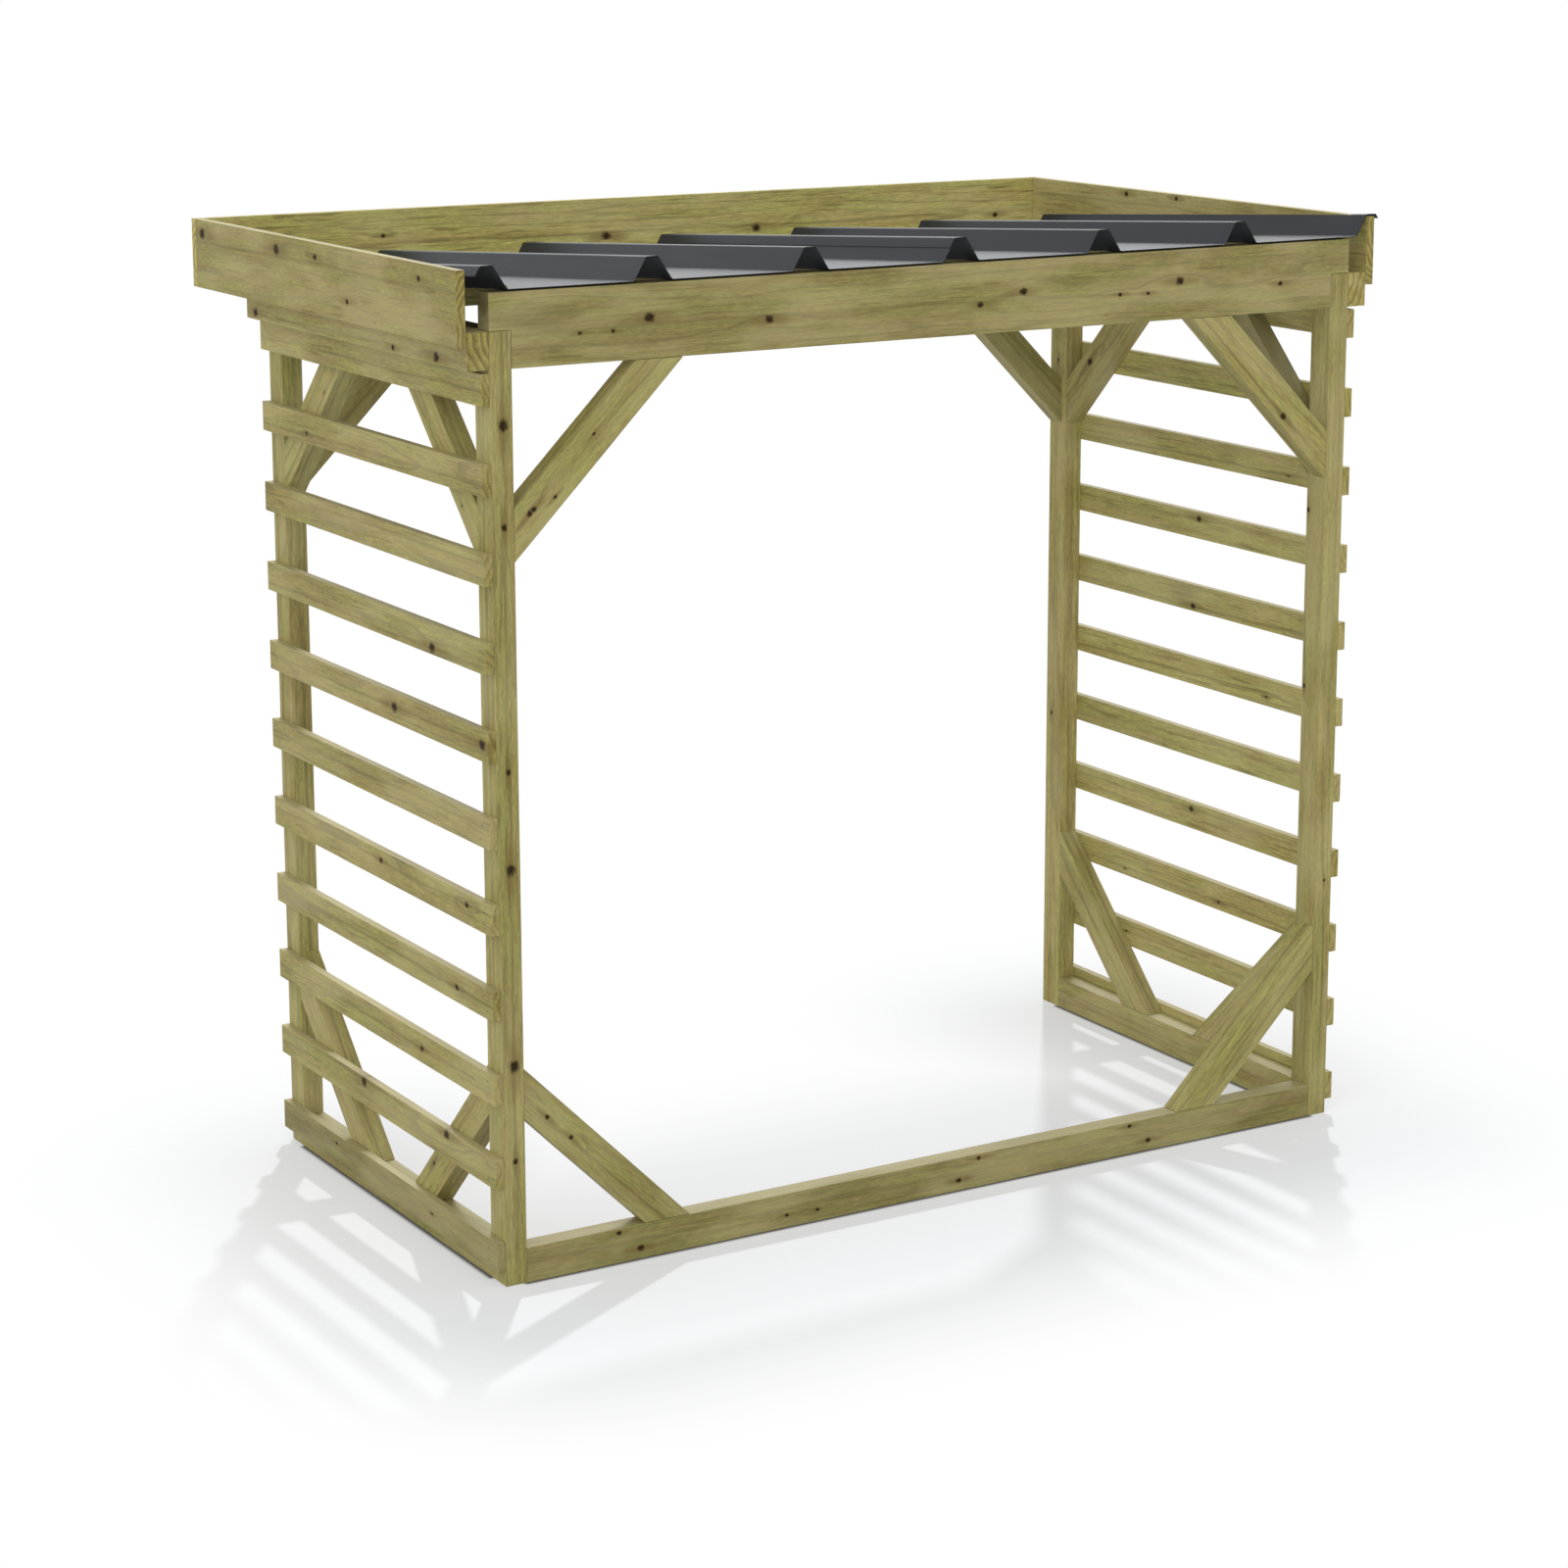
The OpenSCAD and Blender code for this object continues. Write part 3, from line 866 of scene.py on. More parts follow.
    def made(self):
        """The whole finish: hard late wood stands proud, knots are dark and dull and sink at the rim."""
        colour, shade = self.treated_wood()
        colour = self.with_ends_and_tops(self.with_dark_lines(colour), shade)
        colour = self.blend(self.ease(self.flow, HALO_COVER), colour, opaque(self.colours.knot_halo))
        core = self.ease(self.knot, CORE_COVER)
        colour = self.blend(core, colour, opaque(self.colours.knot_core))
        rough = self.choose(self.late, EARLY_ROUGHNESS, LATE_ROUGHNESS)
        height = self.plus(
            self.times(self.late, LATE_HEIGHT),
            self.times(self.fibre, FIBRE_HEIGHT),
            self.times(self.streak, STREAK_HEIGHT),
        )
        rim = self.times(self.ease(self.knot, KNOT_RIM_IN), self.ease(self.knot, KNOT_RIM_OUT))
        return self.surface(
            {
                "Base Color": colour,
                "Roughness": self.plus(rough, self.ease(self.streak, STREAK_ROUGHNESS)),
                "Specular IOR Level": self.choose(core, WOOD_SHINE, KNOT_SHINE),
                "Normal": self.bump(self.minus(height, rim), PINE_RELIEF),
            }
        )


def painted_steel(name, colours):
    """Satin anthracite paint over folded steel, with dust on the flats and a dull back coat, darker near the
    flats as painted shade.
    """
    finish = Finish(name)
    place = finish.attribute("sheet_place")
    height = finish.parts(place)[2]
    cloud = finish.noise(place, SHEET_CLOUD)
    speck = finish.noise(place, SHEET_SPECK)
    run = finish.noise(place, SHEET_RUN)
    shade = finish.times(finish.ease(cloud, PAINT_CLOUD), finish.ease(speck, PAINT_SPECK))
    colour = finish.brighten(opaque(colours.roof_paint), shade)
    settled = finish.times(finish.ease(run, DUST_RUN), finish.ease(cloud, DUST_CLOUD))
    dust = finish.times(finish.ease(height, DUST_LEVEL), settled)
    colour = finish.blend(dust, colour, opaque(colours.roof_dust))
    back = finish.amount("under_side")
    # Painted shade: the back coat darkens towards the flat of the sheet, as in the shade inside the ribs
    back_with_painted_shade = finish.brighten(opaque(colours.roof_back), finish.ease(height, BACK_PAINTED_SHADE))
    rough = finish.plus(finish.ease(cloud, PAINT_ROUGHNESS), finish.times(dust, DUST_ROUGHNESS))
    relief = finish.plus(finish.times(speck, SPECK_HEIGHT), finish.times(cloud, CLOUD_HEIGHT))
    return finish.surface(
        {
            "Base Color": finish.blend(back, colour, back_with_painted_shade),
            "Roughness": finish.choose(back, rough, BACK_ROUGHNESS),
            "Specular IOR Level": PAINT_SHINE,
            "Normal": finish.bump(relief, PAINT_RELIEF),
        }
    )


def dull_zinc(name, colours):
    """Zinc nail heads and screws with spots of rust."""
    finish = Finish(name)
    place = finish.geometry("Position")
    spot = finish.noise(place, RUST_SPOT)
    bloom = finish.noise(place, RUST_BLOOM)
    rust = finish.times(finish.ease(spot, RUST_SPOT_COVER), finish.ease(bloom, RUST_BLOOM_COVER))
    return finish.surface(
        {
            "Base Color": finish.blend(rust, opaque(colours.nail_steel), opaque(colours.nail_rust)),
            "Roughness": finish.choose(rust, ZINC_ROUGHNESS, RUST_ROUGHNESS),
            "Metallic": finish.choose(rust, ZINC_METAL, RUST_METAL),
            "Normal": finish.bump(spot, ZINC_RELIEF),
        }
    )


def sealing_rubber(name, colours):
    """Matt black rubber of the roof washers."""
    finish = Finish(name)
    grain = finish.noise(finish.geometry("Position"), RUBBER_GRAIN)
    return finish.surface(
        {
            "Base Color": finish.brighten(opaque(colours.washer_rubber), finish.ease(grain, RUBBER_SHADE)),
            "Roughness": finish.ease(grain, RUBBER_ROUGHNESS),
            "Normal": finish.bump(grain, RUBBER_RELIEF),
        }
    )


OTHER_FINISHES = {ROOF_PAINT: painted_steel, NAIL_STEEL: dull_zinc, WASHER_RUBBER: sealing_rubber}


def finish_named(context, name):
    """The material of that name, made on its first use."""
    found = bpy.data.materials.get(name)
    if found:
        return found
    colours = context.scene.log_store_colours
    if name in PINE_COVERS:
        return PineFinish(name, colours, PINE_COVERS[name]).made()
    return OTHER_FINISHES[name](name, colours)


def stored_seed(name):
    """A whole number that belongs to a name."""
    return sum((place + 1) * ord(letter) for place, letter in enumerate(name))


def board_knots(name, length, width, timber):
    """The knots listed for a board, or knots drawn for it where none were."""
    if name in KNOTS:
        return KNOTS[name]
    draw = random.Random(stored_seed(name))
    count = max(0, round(length * timber.knots_per_metre + draw.uniform(*KNOT_COUNT_SPREAD)))
    made = []
    for index in range(min(count, KNOT_SLOTS)):
        along = length * (index + draw.uniform(*KNOT_PLACE)) / count
        across = width * draw.uniform(*KNOT_ACROSS)
        made.append(Knot(along, across, draw.uniform(*KNOT_RADIUS)))
    return tuple(made)


def placed(start, *axes):
    """A place that starts at a point, with these three local axes."""
    place = Matrix.Translation(start)
    for column, axis in enumerate(axes):
        for row in range(3):
            place[row][column] = axis[row]
    return place


def straight_board(name, low, high, axes, timber):
    """A square-ended board that fills a box, with its length, width and thickness along the given axes."""
    size = high - low
    length, width, thickness = (size[axis] for axis in axes)
    outline = ((0.0, 0.0), (length, 0.0), (length, width), (0.0, width))
    place = placed(low, *(UNITS[axis] for axis in axes))
    return Board(name, outline, thickness, place, board_knots(name, length, width, timber))


def lapped_beam(name, low, high, post_width, lap, timber):
    """The front beam: its lower half fits between the posts and its upper half runs over them."""
    plain = straight_board(name, low, high, CROSS_AXES, timber)
    length = high.x - low.x
    height = high.z - low.z
    outline = (
        (post_width, 0.0),
        (length - post_width, 0.0),
        (length - post_width, lap),
        (length, lap),
        (length, height),
        (0.0, height),
        (0.0, lap),
        (post_width, lap),
    )
    return plain._replace(outline=outline)


def corner_brace(name, low, high, timber):
    """A brace with both ends cut to seat: its long edge faces away from the corner that it holds."""
    run_axis = X_AXIS if name in CROSS_BRACES else Y_AXIS
    depth_axis = Y_AXIS if run_axis == X_AXIS else X_AXIS
    at_far_end = "right_brace" in name if run_axis == X_AXIS else "back_brace" in name
    upper = "upper" in name
    run = -1.0 if at_far_end else 1.0
    rise = -1.0 if upper else 1.0
    start = low.copy()
    start[run_axis] = low[run_axis] if at_far_end else high[run_axis]
    start.z = high.z if upper else low.z
    along = Vector((0.0, 0.0, rise))
    across = Vector((0.0, 0.0, -rise))
    along[run_axis] = -run
    across[run_axis] = -run
    place = placed(start, along.normalized(), across.normalized(), UNITS[depth_axis])
    length = (high[run_axis] - low[run_axis]) * math.sqrt(2.0)
    width = timber.brace_width
    outline = ((0.0, 0.0), (length, 0.0), (length - width, width), (width, width))
    thickness = high[depth_axis] - low[depth_axis]
    return Board(name, outline, thickness, place, board_knots(name, length, width, timber))


def slat_bottoms(low, high, timber):
    """Levels at which the slats of one side start."""
    pitch = (high.z - low.z - timber.slat_height) / (timber.slat_count - 1)
    return [low.z + index * pitch for index in range(timber.slat_count)]


def side_slats(name, low, high, timber):
    """The slats of one side, as separate boards."""
    boards = []
    for index, level in enumerate(slat_bottoms(low, high, timber)):
        bottom = Vector((low.x, low.y, level))
        top = Vector((high.x, high.y, bottom.z + timber.slat_height))
        boards.append(straight_board(f"{name}.{index}", bottom, top, SIDE_AXES, timber))
    return boards


def planed_shape(board, timber):
    """A bmesh of a board in its own coordinates, with rounded arrises."""
    shape = bmesh.new()
    lower = [shape.verts.new((u, v, 0.0)) for u, v in board.outline]
    upper = [shape.verts.new((u, v, board.thickness)) for u, v in board.outline]
    shape.faces.new(lower[::-1])
    shape.faces.new(upper)
    join_rings(shape, lower, upper)
    shape.normal_update()
    bmesh.ops.bevel(
        shape,
        geom=[edge for edge in shape.edges if edge.is_convex],
        offset=timber.arris_radius,
        offset_type="OFFSET",
        segments=timber.arris_steps,
        profile=0.5,
        affect="EDGES",
        clamp_overlap=True,
    )
    length = max(u for u, v in board.outline)
    cuts = int(length / timber.cut_spacing)
    for index in range(1, cuts):
        bmesh.ops.bisect_plane(
            shape,
            geom=shape.verts[:] + shape.edges[:] + shape.faces[:],
            plane_co=(length * index / cuts, 0.0, 0.0),
            plane_no=(1.0, 0.0, 0.0),
        )
    return shape


def join_rings(shape, lower, upper):
    """Adds the faces between two rings of points."""
    for index in range(len(lower)):
        after = (index + 1) % len(lower)
        shape.faces.new((lower[index], lower[after], upper[after], upper[index]))


def board_heart(board, timber):
    """Where the heart of the log lies beside a board, and the width of its rings."""
    draw = random.Random(stored_seed(board.name) + HEART_SEED)
    width = max(v for u, v in board.outline)
    heart_v = width * draw.uniform(*HEART_ACROSS)
    heart_w = board.thickness * 0.5 + draw.choice((-1.0, 1.0)) * draw.uniform(*HEART_AWAY)
    return Vector((heart_v, heart_w, timber.ring_width * draw.uniform(*RING_SPREAD)))


def board_mark(board):
    """A board's own offset into the noise, its tone and its share of green."""
    draw = random.Random(stored_seed(board.name) + MARK_SEED)
    offset = draw.uniform(*NOISE_OFFSET)
    piece = board.name.partition(".")[0]
    # Some listed tones are painted shade or painted light, not the wood's own tone
    shade = TONES_AND_PAINTED_LIGHT.get(board.name, TONES_AND_PAINTED_LIGHT.get(piece, PLAIN_SHADE))
    tone = shade.tone * draw.uniform(*TONE_SPREAD)
    return Vector((offset, tone, shade.green + draw.uniform(*GREEN_SPREAD)))


def grain_line(board):
    """Where the dark grain lines run across and through a board, near its knots, and how strong they are."""
    draw = random.Random(stored_seed(board.name) + LINE_SEED)
    across = [knot.across for knot in board.knots if knot.way == FACE]
    through = [knot.across for knot in board.knots if knot.way == EDGE]
    width = max(v for u, v in board.outline)
    line_v = sum(across) / len(across) if across else width * draw.uniform(*LINE_ACROSS)
    line_w = sum(through) / len(through) if through else board.thickness * draw.uniform(*LINE_THROUGH)
    return Vector((line_v, line_w, draw.uniform(*LINE_COVER)))


def board_values(board, timber):
    """Vectors that are the same all over a board. A knot's radius has the way it runs as its sign."""
    values = {
        "board_mark": board_mark(board),
        "board_heart": board_heart(board, timber),
        "board_axis": board.place.col[0].to_3d(),
        "grain_line": grain_line(board),
    }
    padded = list(board.knots) + [FAR_AWAY] * (KNOT_SLOTS - len(board.knots))
    for index, knot in enumerate(padded):
        values[f"knot_{index}"] = Vector((knot.along, knot.across, knot.radius * knot.way))
    return values


def ripple(wave):
    """A share from 0 to 1 that changes smoothly from place to place."""
    return 0.5 + 0.5 * noise.noise(wave)


def board_arrays(board, timber):
    """Points and faces of one board in the frame, and the points' places in the board."""
    shape = planed_shape(board, timber)
    shape.normal_update()
    shape.verts.index_update()
    seed = stored_seed(board.name)
    points, places = [], []
    for vert in shape.verts:
        u, v, w = vert.co
        wave = Vector((u * RIPPLE_ALONG + seed, v * RIPPLE_ACROSS, w * RIPPLE_ACROSS))
        dip = timber.skin + timber.unevenness * ripple(wave)
        points.append(board.place @ (vert.co - vert.normal * dip))
        places.append((u, v, w))
    faces = [[vert.index for vert in face.verts] for face in shape.faces]
    if board.place.determinant() < 0.0:
        faces = [face[::-1] for face in faces]
    shape.free()
    return points, faces, places


def carry_vector(mesh, name, values):
    """Stores one vector for each point of a mesh."""
    layer = mesh.attributes.new(name, "FLOAT_VECTOR", "POINT")
    layer.data.foreach_set("vector", [part for value in values for part in value])


def carry_number(mesh, name, values):
    """Stores one number for each point of a mesh."""
    layer = mesh.attributes.new(name, "FLOAT", "POINT")
    layer.data.foreach_set("value", values)


def shown_piece(context, name, mesh, finish_name):
    """A smooth-shaded piece of the store that rides on its frame."""
    mesh.validate()
    for polygon in mesh.polygons:
        polygon.use_smooth = True
    mesh.materials.append(finish_named(context, finish_name))
    piece = bpy.data.objects.new(name, mesh)
    context.scene.collection.objects.link(piece)
    flats = piece.modifiers.new("flat_faces", "WEIGHTED_NORMAL")
    flats.keep_sharp = True
    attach(piece, BODY)
    return piece


def timber_piece(context, node, boards, finish_name):
    """One piece of one or more boards that stands for a node of the frame."""
    timber = context.scene.log_store_timber
    points, faces = [], []
    carried = {"board_place": []}
    for board in boards:
        board_points, board_faces, board_places = board_arrays(board, timber)
        first = len(points)
        points.extend(board_points)
        faces.extend([[first + index for index in face] for face in board_faces])
        carried["board_place"].extend(board_places)
        for name, value in board_values(board, timber).items():
            carried.setdefault(name, []).extend([value] * len(board_points))
    mesh = bpy.data.meshes.new(f"dressed_{node}")
    mesh.from_pydata(points, [], faces)
    for name, values in carried.items():
        carry_vector(mesh, name, values)
    # Share of painted shade under the roof that each point carries
    carry_number(mesh, "under_roof", [PAINTED_ROOF_SHADE.get(node, 0.0)] * len(points))
    piece = shown_piece(context, f"dressed_{node}", mesh, finish_name)
    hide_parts(node)


def dress_straight(context, names, axes, finish_name):
    """Dresses nodes that are single square-ended boards."""
    timber = context.scene.log_store_timber
    for name in names:
        low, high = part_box(name)
        timber_piece(context, name, [straight_board(name, low, high, axes, timber)], finish_name)


class RoofPlan:
    """Places that the roof sheets share, worked out from the frame."""

    def __init__(self, roof):
        self.roof = roof
        beam_low, beam_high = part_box("front_beam")
        back_low, back_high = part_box("back_beam")
        self.fascia_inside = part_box("right_fascia")[0].x
        self.first_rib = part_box("left_fascia")[1].x + roof.first_rib_inset
        last_rib = self.fascia_inside + roof.rib_crown / 2.0
        self.pitch = (last_rib - self.first_rib) / (roof.rib_count - 1)
        self.slope = math.atan2(beam_high.z - back_high.z, back_high.y - beam_high.y)
        self.front = beam_low.y
        self.level = beam_high.z + (beam_high.y - beam_low.y) * math.tan(self.slope)
        self.flank = math.atan2(2.0 * roof.rib_height, roof.rib_foot - roof.rib_crown)
        self.beam_middle = (beam_low.y + beam_high.y) / 2.0
        self.back_middle = (back_low.y + back_high.y) / 2.0

    def rib_middle(self, index):
        """Place of a rib across the width."""
        return self.first_rib + index * self.pitch

    def flank_place(self, level, offset):
        """Distance of a rib's flank from the rib's middle at a level, for a face moved out by an offset."""
        outward = self.roof.rib_foot / 2.0 - level / math.tan(self.flank)
        return outward + offset / math.sin(self.flank)

    def to_frame(self, across, down, height):
        """A point of a sheet, as across, down the slope and height over its flat, in the frame."""
        y = self.front + down * math.cos(self.slope) + height * math.sin(self.slope)
        z = self.level - down * math.sin(self.slope) + height * math.cos(self.slope)
        return Vector((across, y, z))


def rounded_corner(before, corner, after, radius):
    """Points of an arc that replaces a corner of a line."""
    back = (before - corner).normalized()
    ahead = (after - corner).normalized()
    half = back.angle(ahead) / 2.0
    reach = radius / math.tan(half)
    middle = corner + (back + ahead).normalized() * (radius / math.sin(half))
    start = corner + back * reach - middle
    end = corner + ahead * reach - middle
    sweep = start.angle(end)
    turn = 1.0 if start.x * end.y - start.y * end.x > 0.0 else -1.0
    points = []
    for step in range(FOLD_STEPS + 1):
        spin = Matrix.Rotation(turn * sweep * step / FOLD_STEPS, 2)
        points.append(middle + spin @ start)
    return points


def sheet_line(plan, first, last, left_leg, right_leg, left_grow):
    """The under face of a sheet across its width, with rounded folds."""
    roof = plan.roof
    corners = []
    for index in range(first, last + 1):
        grow = left_grow if index == first else 0.0
        middle = plan.rib_middle(index)
        top = roof.rib_height + grow
        foot = plan.flank_place(0.0, grow)
        crown = plan.flank_place(top, grow)
        left_level = (1.0 - left_leg) * top if index == first else 0.0
        right_level = (1.0 - right_leg) * top if index == last else 0.0
        left_foot = plan.flank_place(left_level, grow) if left_level else foot
        right_foot = plan.flank_place(right_level, grow) if right_level else foot
        corners.append(Vector((middle - left_foot, left_level)))
        corners.append(Vector((middle - crown, top)))
        corners.append(Vector((middle + crown, top)))
        corners.append(Vector((middle + right_foot, right_level)))
    line = [corners[0]]
    for before, corner, after in zip(corners, corners[1:], corners[2:]):
        at_crown = corner.y > roof.rib_height / 2.0
        radius = roof.bend_radius if at_crown else roof.bend_radius + roof.thickness
        line.extend(rounded_corner(before, corner, after, radius))
    line.append(corners[-1])
    return line


def cut_line(line, across):
    """A line with a point added where it passes a place across the width."""
    cut = []
    for start, end in zip(line, line[1:]):
        cut.append(start)
        if start.x < across < end.x:
            cut.append(start.lerp(end, (across - start.x) / (end.x - start.x)))
    cut.append(line[-1])
    return cut


def upper_line(line, thickness):
    """The upper face of a sheet: its under face moved out along its own normal."""
    moved = []
    for index, point in enumerate(line):
        before = line[max(index - 1, 0)]
        after = line[min(index + 1, len(line) - 1)]
        along = (after - before).normalized()
        moved.append(point + Vector((-along.y, along.x)) * thickness)
    return moved


def sheet_cells(downs, line, cap_length, trim):
    """The cells of a sheet that are kept: right of trim, only those of the cap at the front end."""
    cells = set()
    for row in range(len(downs) - 1):
        in_cap = downs[row + 1] <= cap_length + TOUCH
        for column in range(len(line) - 1):
            if trim is None or in_cap or line[column + 1].x <= trim + TOUCH:
                cells.add((row, column))
    return cells


def sheet_faces(cells, columns, layer):
    """Upper and under faces of the kept cells, and the edges of the sheet around them."""

    def corner(row, column, under):
        """Number of a point of the sheet's upper or under face."""
        return row * columns + column + (layer if under else 0)

    faces = []
    for row, column in sorted(cells):
        ring = ((row, column), (row, column + 1), (row + 1, column + 1), (row + 1, column))
        faces.append([corner(*place, False) for place in ring])
        faces.append([corner(*place, True) for place in ring[::-1]])
        beside = ((row - 1, column), (row, column + 1), (row + 1, column), (row, column - 1))
        for neighbour, start, end in zip(beside, ring, ring[1:] + ring[:1]):
            if neighbour not in cells:
                upper = [corner(*end, False), corner(*start, False)]
                faces.append(upper + [corner(*start, True), corner(*end, True)])
    return faces


def sheet_mesh(name, plan, line, trim=None):
    """A closed mesh of a folded sheet, trimmed beside the fascia where a trim is given."""
    roof = plan.roof
    run = roof.length - 2.0 * roof.clearance
    rows = {roof.clearance + run * row / SHEET_ROWS for row in range(SHEET_ROWS + 1)}
    downs = sorted(rows | {roof.cap_length})
    points, places, unders = [], [], []
    for face, under in ((upper_line(line, roof.thickness), 0.0), (line, 1.0)):
        for down in downs:
            for point in face:
                wave = Vector((point.x * SHEET_RIPPLE_ACROSS, down * SHEET_RIPPLE_DOWN, SHEET_SLICE))
                dip = roof.waviness * ripple(wave)
                points.append(plan.to_frame(point.x, down, point.y - dip))
                places.append((point.x, down, point.y))
                unders.append(under)
    cells = sheet_cells(downs, line, roof.cap_length, trim)
    mesh = bpy.data.meshes.new(name)
    mesh.from_pydata(points, [], sheet_faces(cells, len(line), len(downs) * len(line)))
    carry_vector(mesh, "sheet_place", places)
    carry_number(mesh, "under_side", unders)
    shape = bmesh.new()
    shape.from_mesh(mesh)
    loose = [vert for vert in shape.verts if not vert.link_faces]
    bmesh.ops.delete(shape, geom=loose, context="VERTS")
    bmesh.ops.recalc_face_normals(shape, faces=shape.faces[:])
    shape.to_mesh(mesh)
    shape.free()
    return mesh


def section(radius, shape):
    """Rings of radius and height of a turned head."""
    return tuple((radius * share, height) for share, height in shape)


def turned_head(shape, place, rings, sides):
    """Adds a closed turned head: rings of radius and height from the bottom up, around the place's Z."""
    loops = []
    for radius, height in rings:
        loop = []
        for side in range(sides):
            angle = 2.0 * math.pi * side / sides
            local = Vector((radius * math.cos(angle), radius * math.sin(angle), height))
            loop.append(shape.verts.new(place @ local))
        loops.append(loop)
    shape.faces.new(loops[0][::-1])
    shape.faces.new(loops[-1])
    for lower, upper in zip(loops, loops[1:]):
        join_rings(shape, lower, upper)


def heads_piece(context, name, places, rings, sides, finish_name):
    """One piece of like turned heads."""
    shape = bmesh.new()
    for place in places:
        turned_head(shape, place, rings, sides)
    mesh = bpy.data.meshes.new(name)
    shape.to_mesh(mesh)
    shape.free()
    shown_piece(context, name, mesh, finish_name)


def facing(point, outward):
    """A place at a point whose local Z looks outward."""
    turn = outward.to_track_quat("Z", "Y").to_matrix().to_4x4()
    return Matrix.Translation(point) @ turn


def outer_face(side, low, high):
    """Where the outer face of a board lies on a side of the store."""
    return low.x if side == "left" else high.x


def slat_nail_points(side, timber, fixings):
    """Nails of one side's slats: two where each slat crosses a post."""
    name = f"{side}_slats"
    low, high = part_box(name)
    face = outer_face(side, low, high)
    draw = random.Random(stored_seed(name))
    points = []
    for bottom in slat_bottoms(low, high, timber):
        for end in ENDS:
            post_low, post_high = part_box(f"{end}_{side}_post")
            middle = (post_low.y + post_high.y) / 2.0
            for level in (fixings.nail_edge, timber.slat_height - fixings.nail_edge):
                y = middle + draw.uniform(-SLAT_NAIL_WANDER, SLAT_NAIL_WANDER)
                z = bottom + level + draw.uniform(-NAIL_RISE, NAIL_RISE)
                points.append(Vector((face, y, z)))
    return points


def fascia_nail_points(side, fixings):
    """Nails that hold a side fascia to its batten."""
    name = f"{side}_fascia"
    low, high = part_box(name)
    batten_low, batten_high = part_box(f"{side}_batten")
    face = outer_face(side, low, high)
    level = (low.z + batten_high.z) / 2.0
    run = batten_high.y - batten_low.y - 2.0 * FASCIA_NAIL_INSET
    count = int(run / fixings.nail_spacing) + 1
    draw = random.Random(stored_seed(name))
    points = []
    for index in range(count):
        along = batten_low.y + FASCIA_NAIL_INSET + run * index / (count - 1)
        y = along + draw.uniform(-FASCIA_NAIL_WANDER, FASCIA_NAIL_WANDER)
        points.append(Vector((face, y, level + draw.uniform(-NAIL_RISE, NAIL_RISE))))
    return points


def batten_nail_points(side):
    """Nails that hold a batten to its posts, below the fascia."""
    low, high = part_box(f"{side}_batten")
    face = outer_face(side, low, high)
    points = []
    for end in ENDS:
        post_low, post_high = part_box(f"{end}_{side}_post")
        for share in BATTEN_NAIL_SHARES:
            y = post_low.y + (post_high.y - post_low.y) * share
            points.append(Vector((face, y, low.z + BATTEN_NAIL_HEIGHT + BATTEN_NAIL_STAGGER * share)))
    return points


def back_nail_points():
    """Nails that hold the back fascia to the ends of the side boards."""
    low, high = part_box("back_fascia")
    points = []
    for name in SIDE_FASCIAS:
        side_low, side_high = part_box(name)
        x = (side_low.x + side_high.x) / 2.0
        for share in BACK_NAIL_SHARES:
            points.append(Vector((x, high.y, low.z + (high.z - low.z) * share)))
    return points


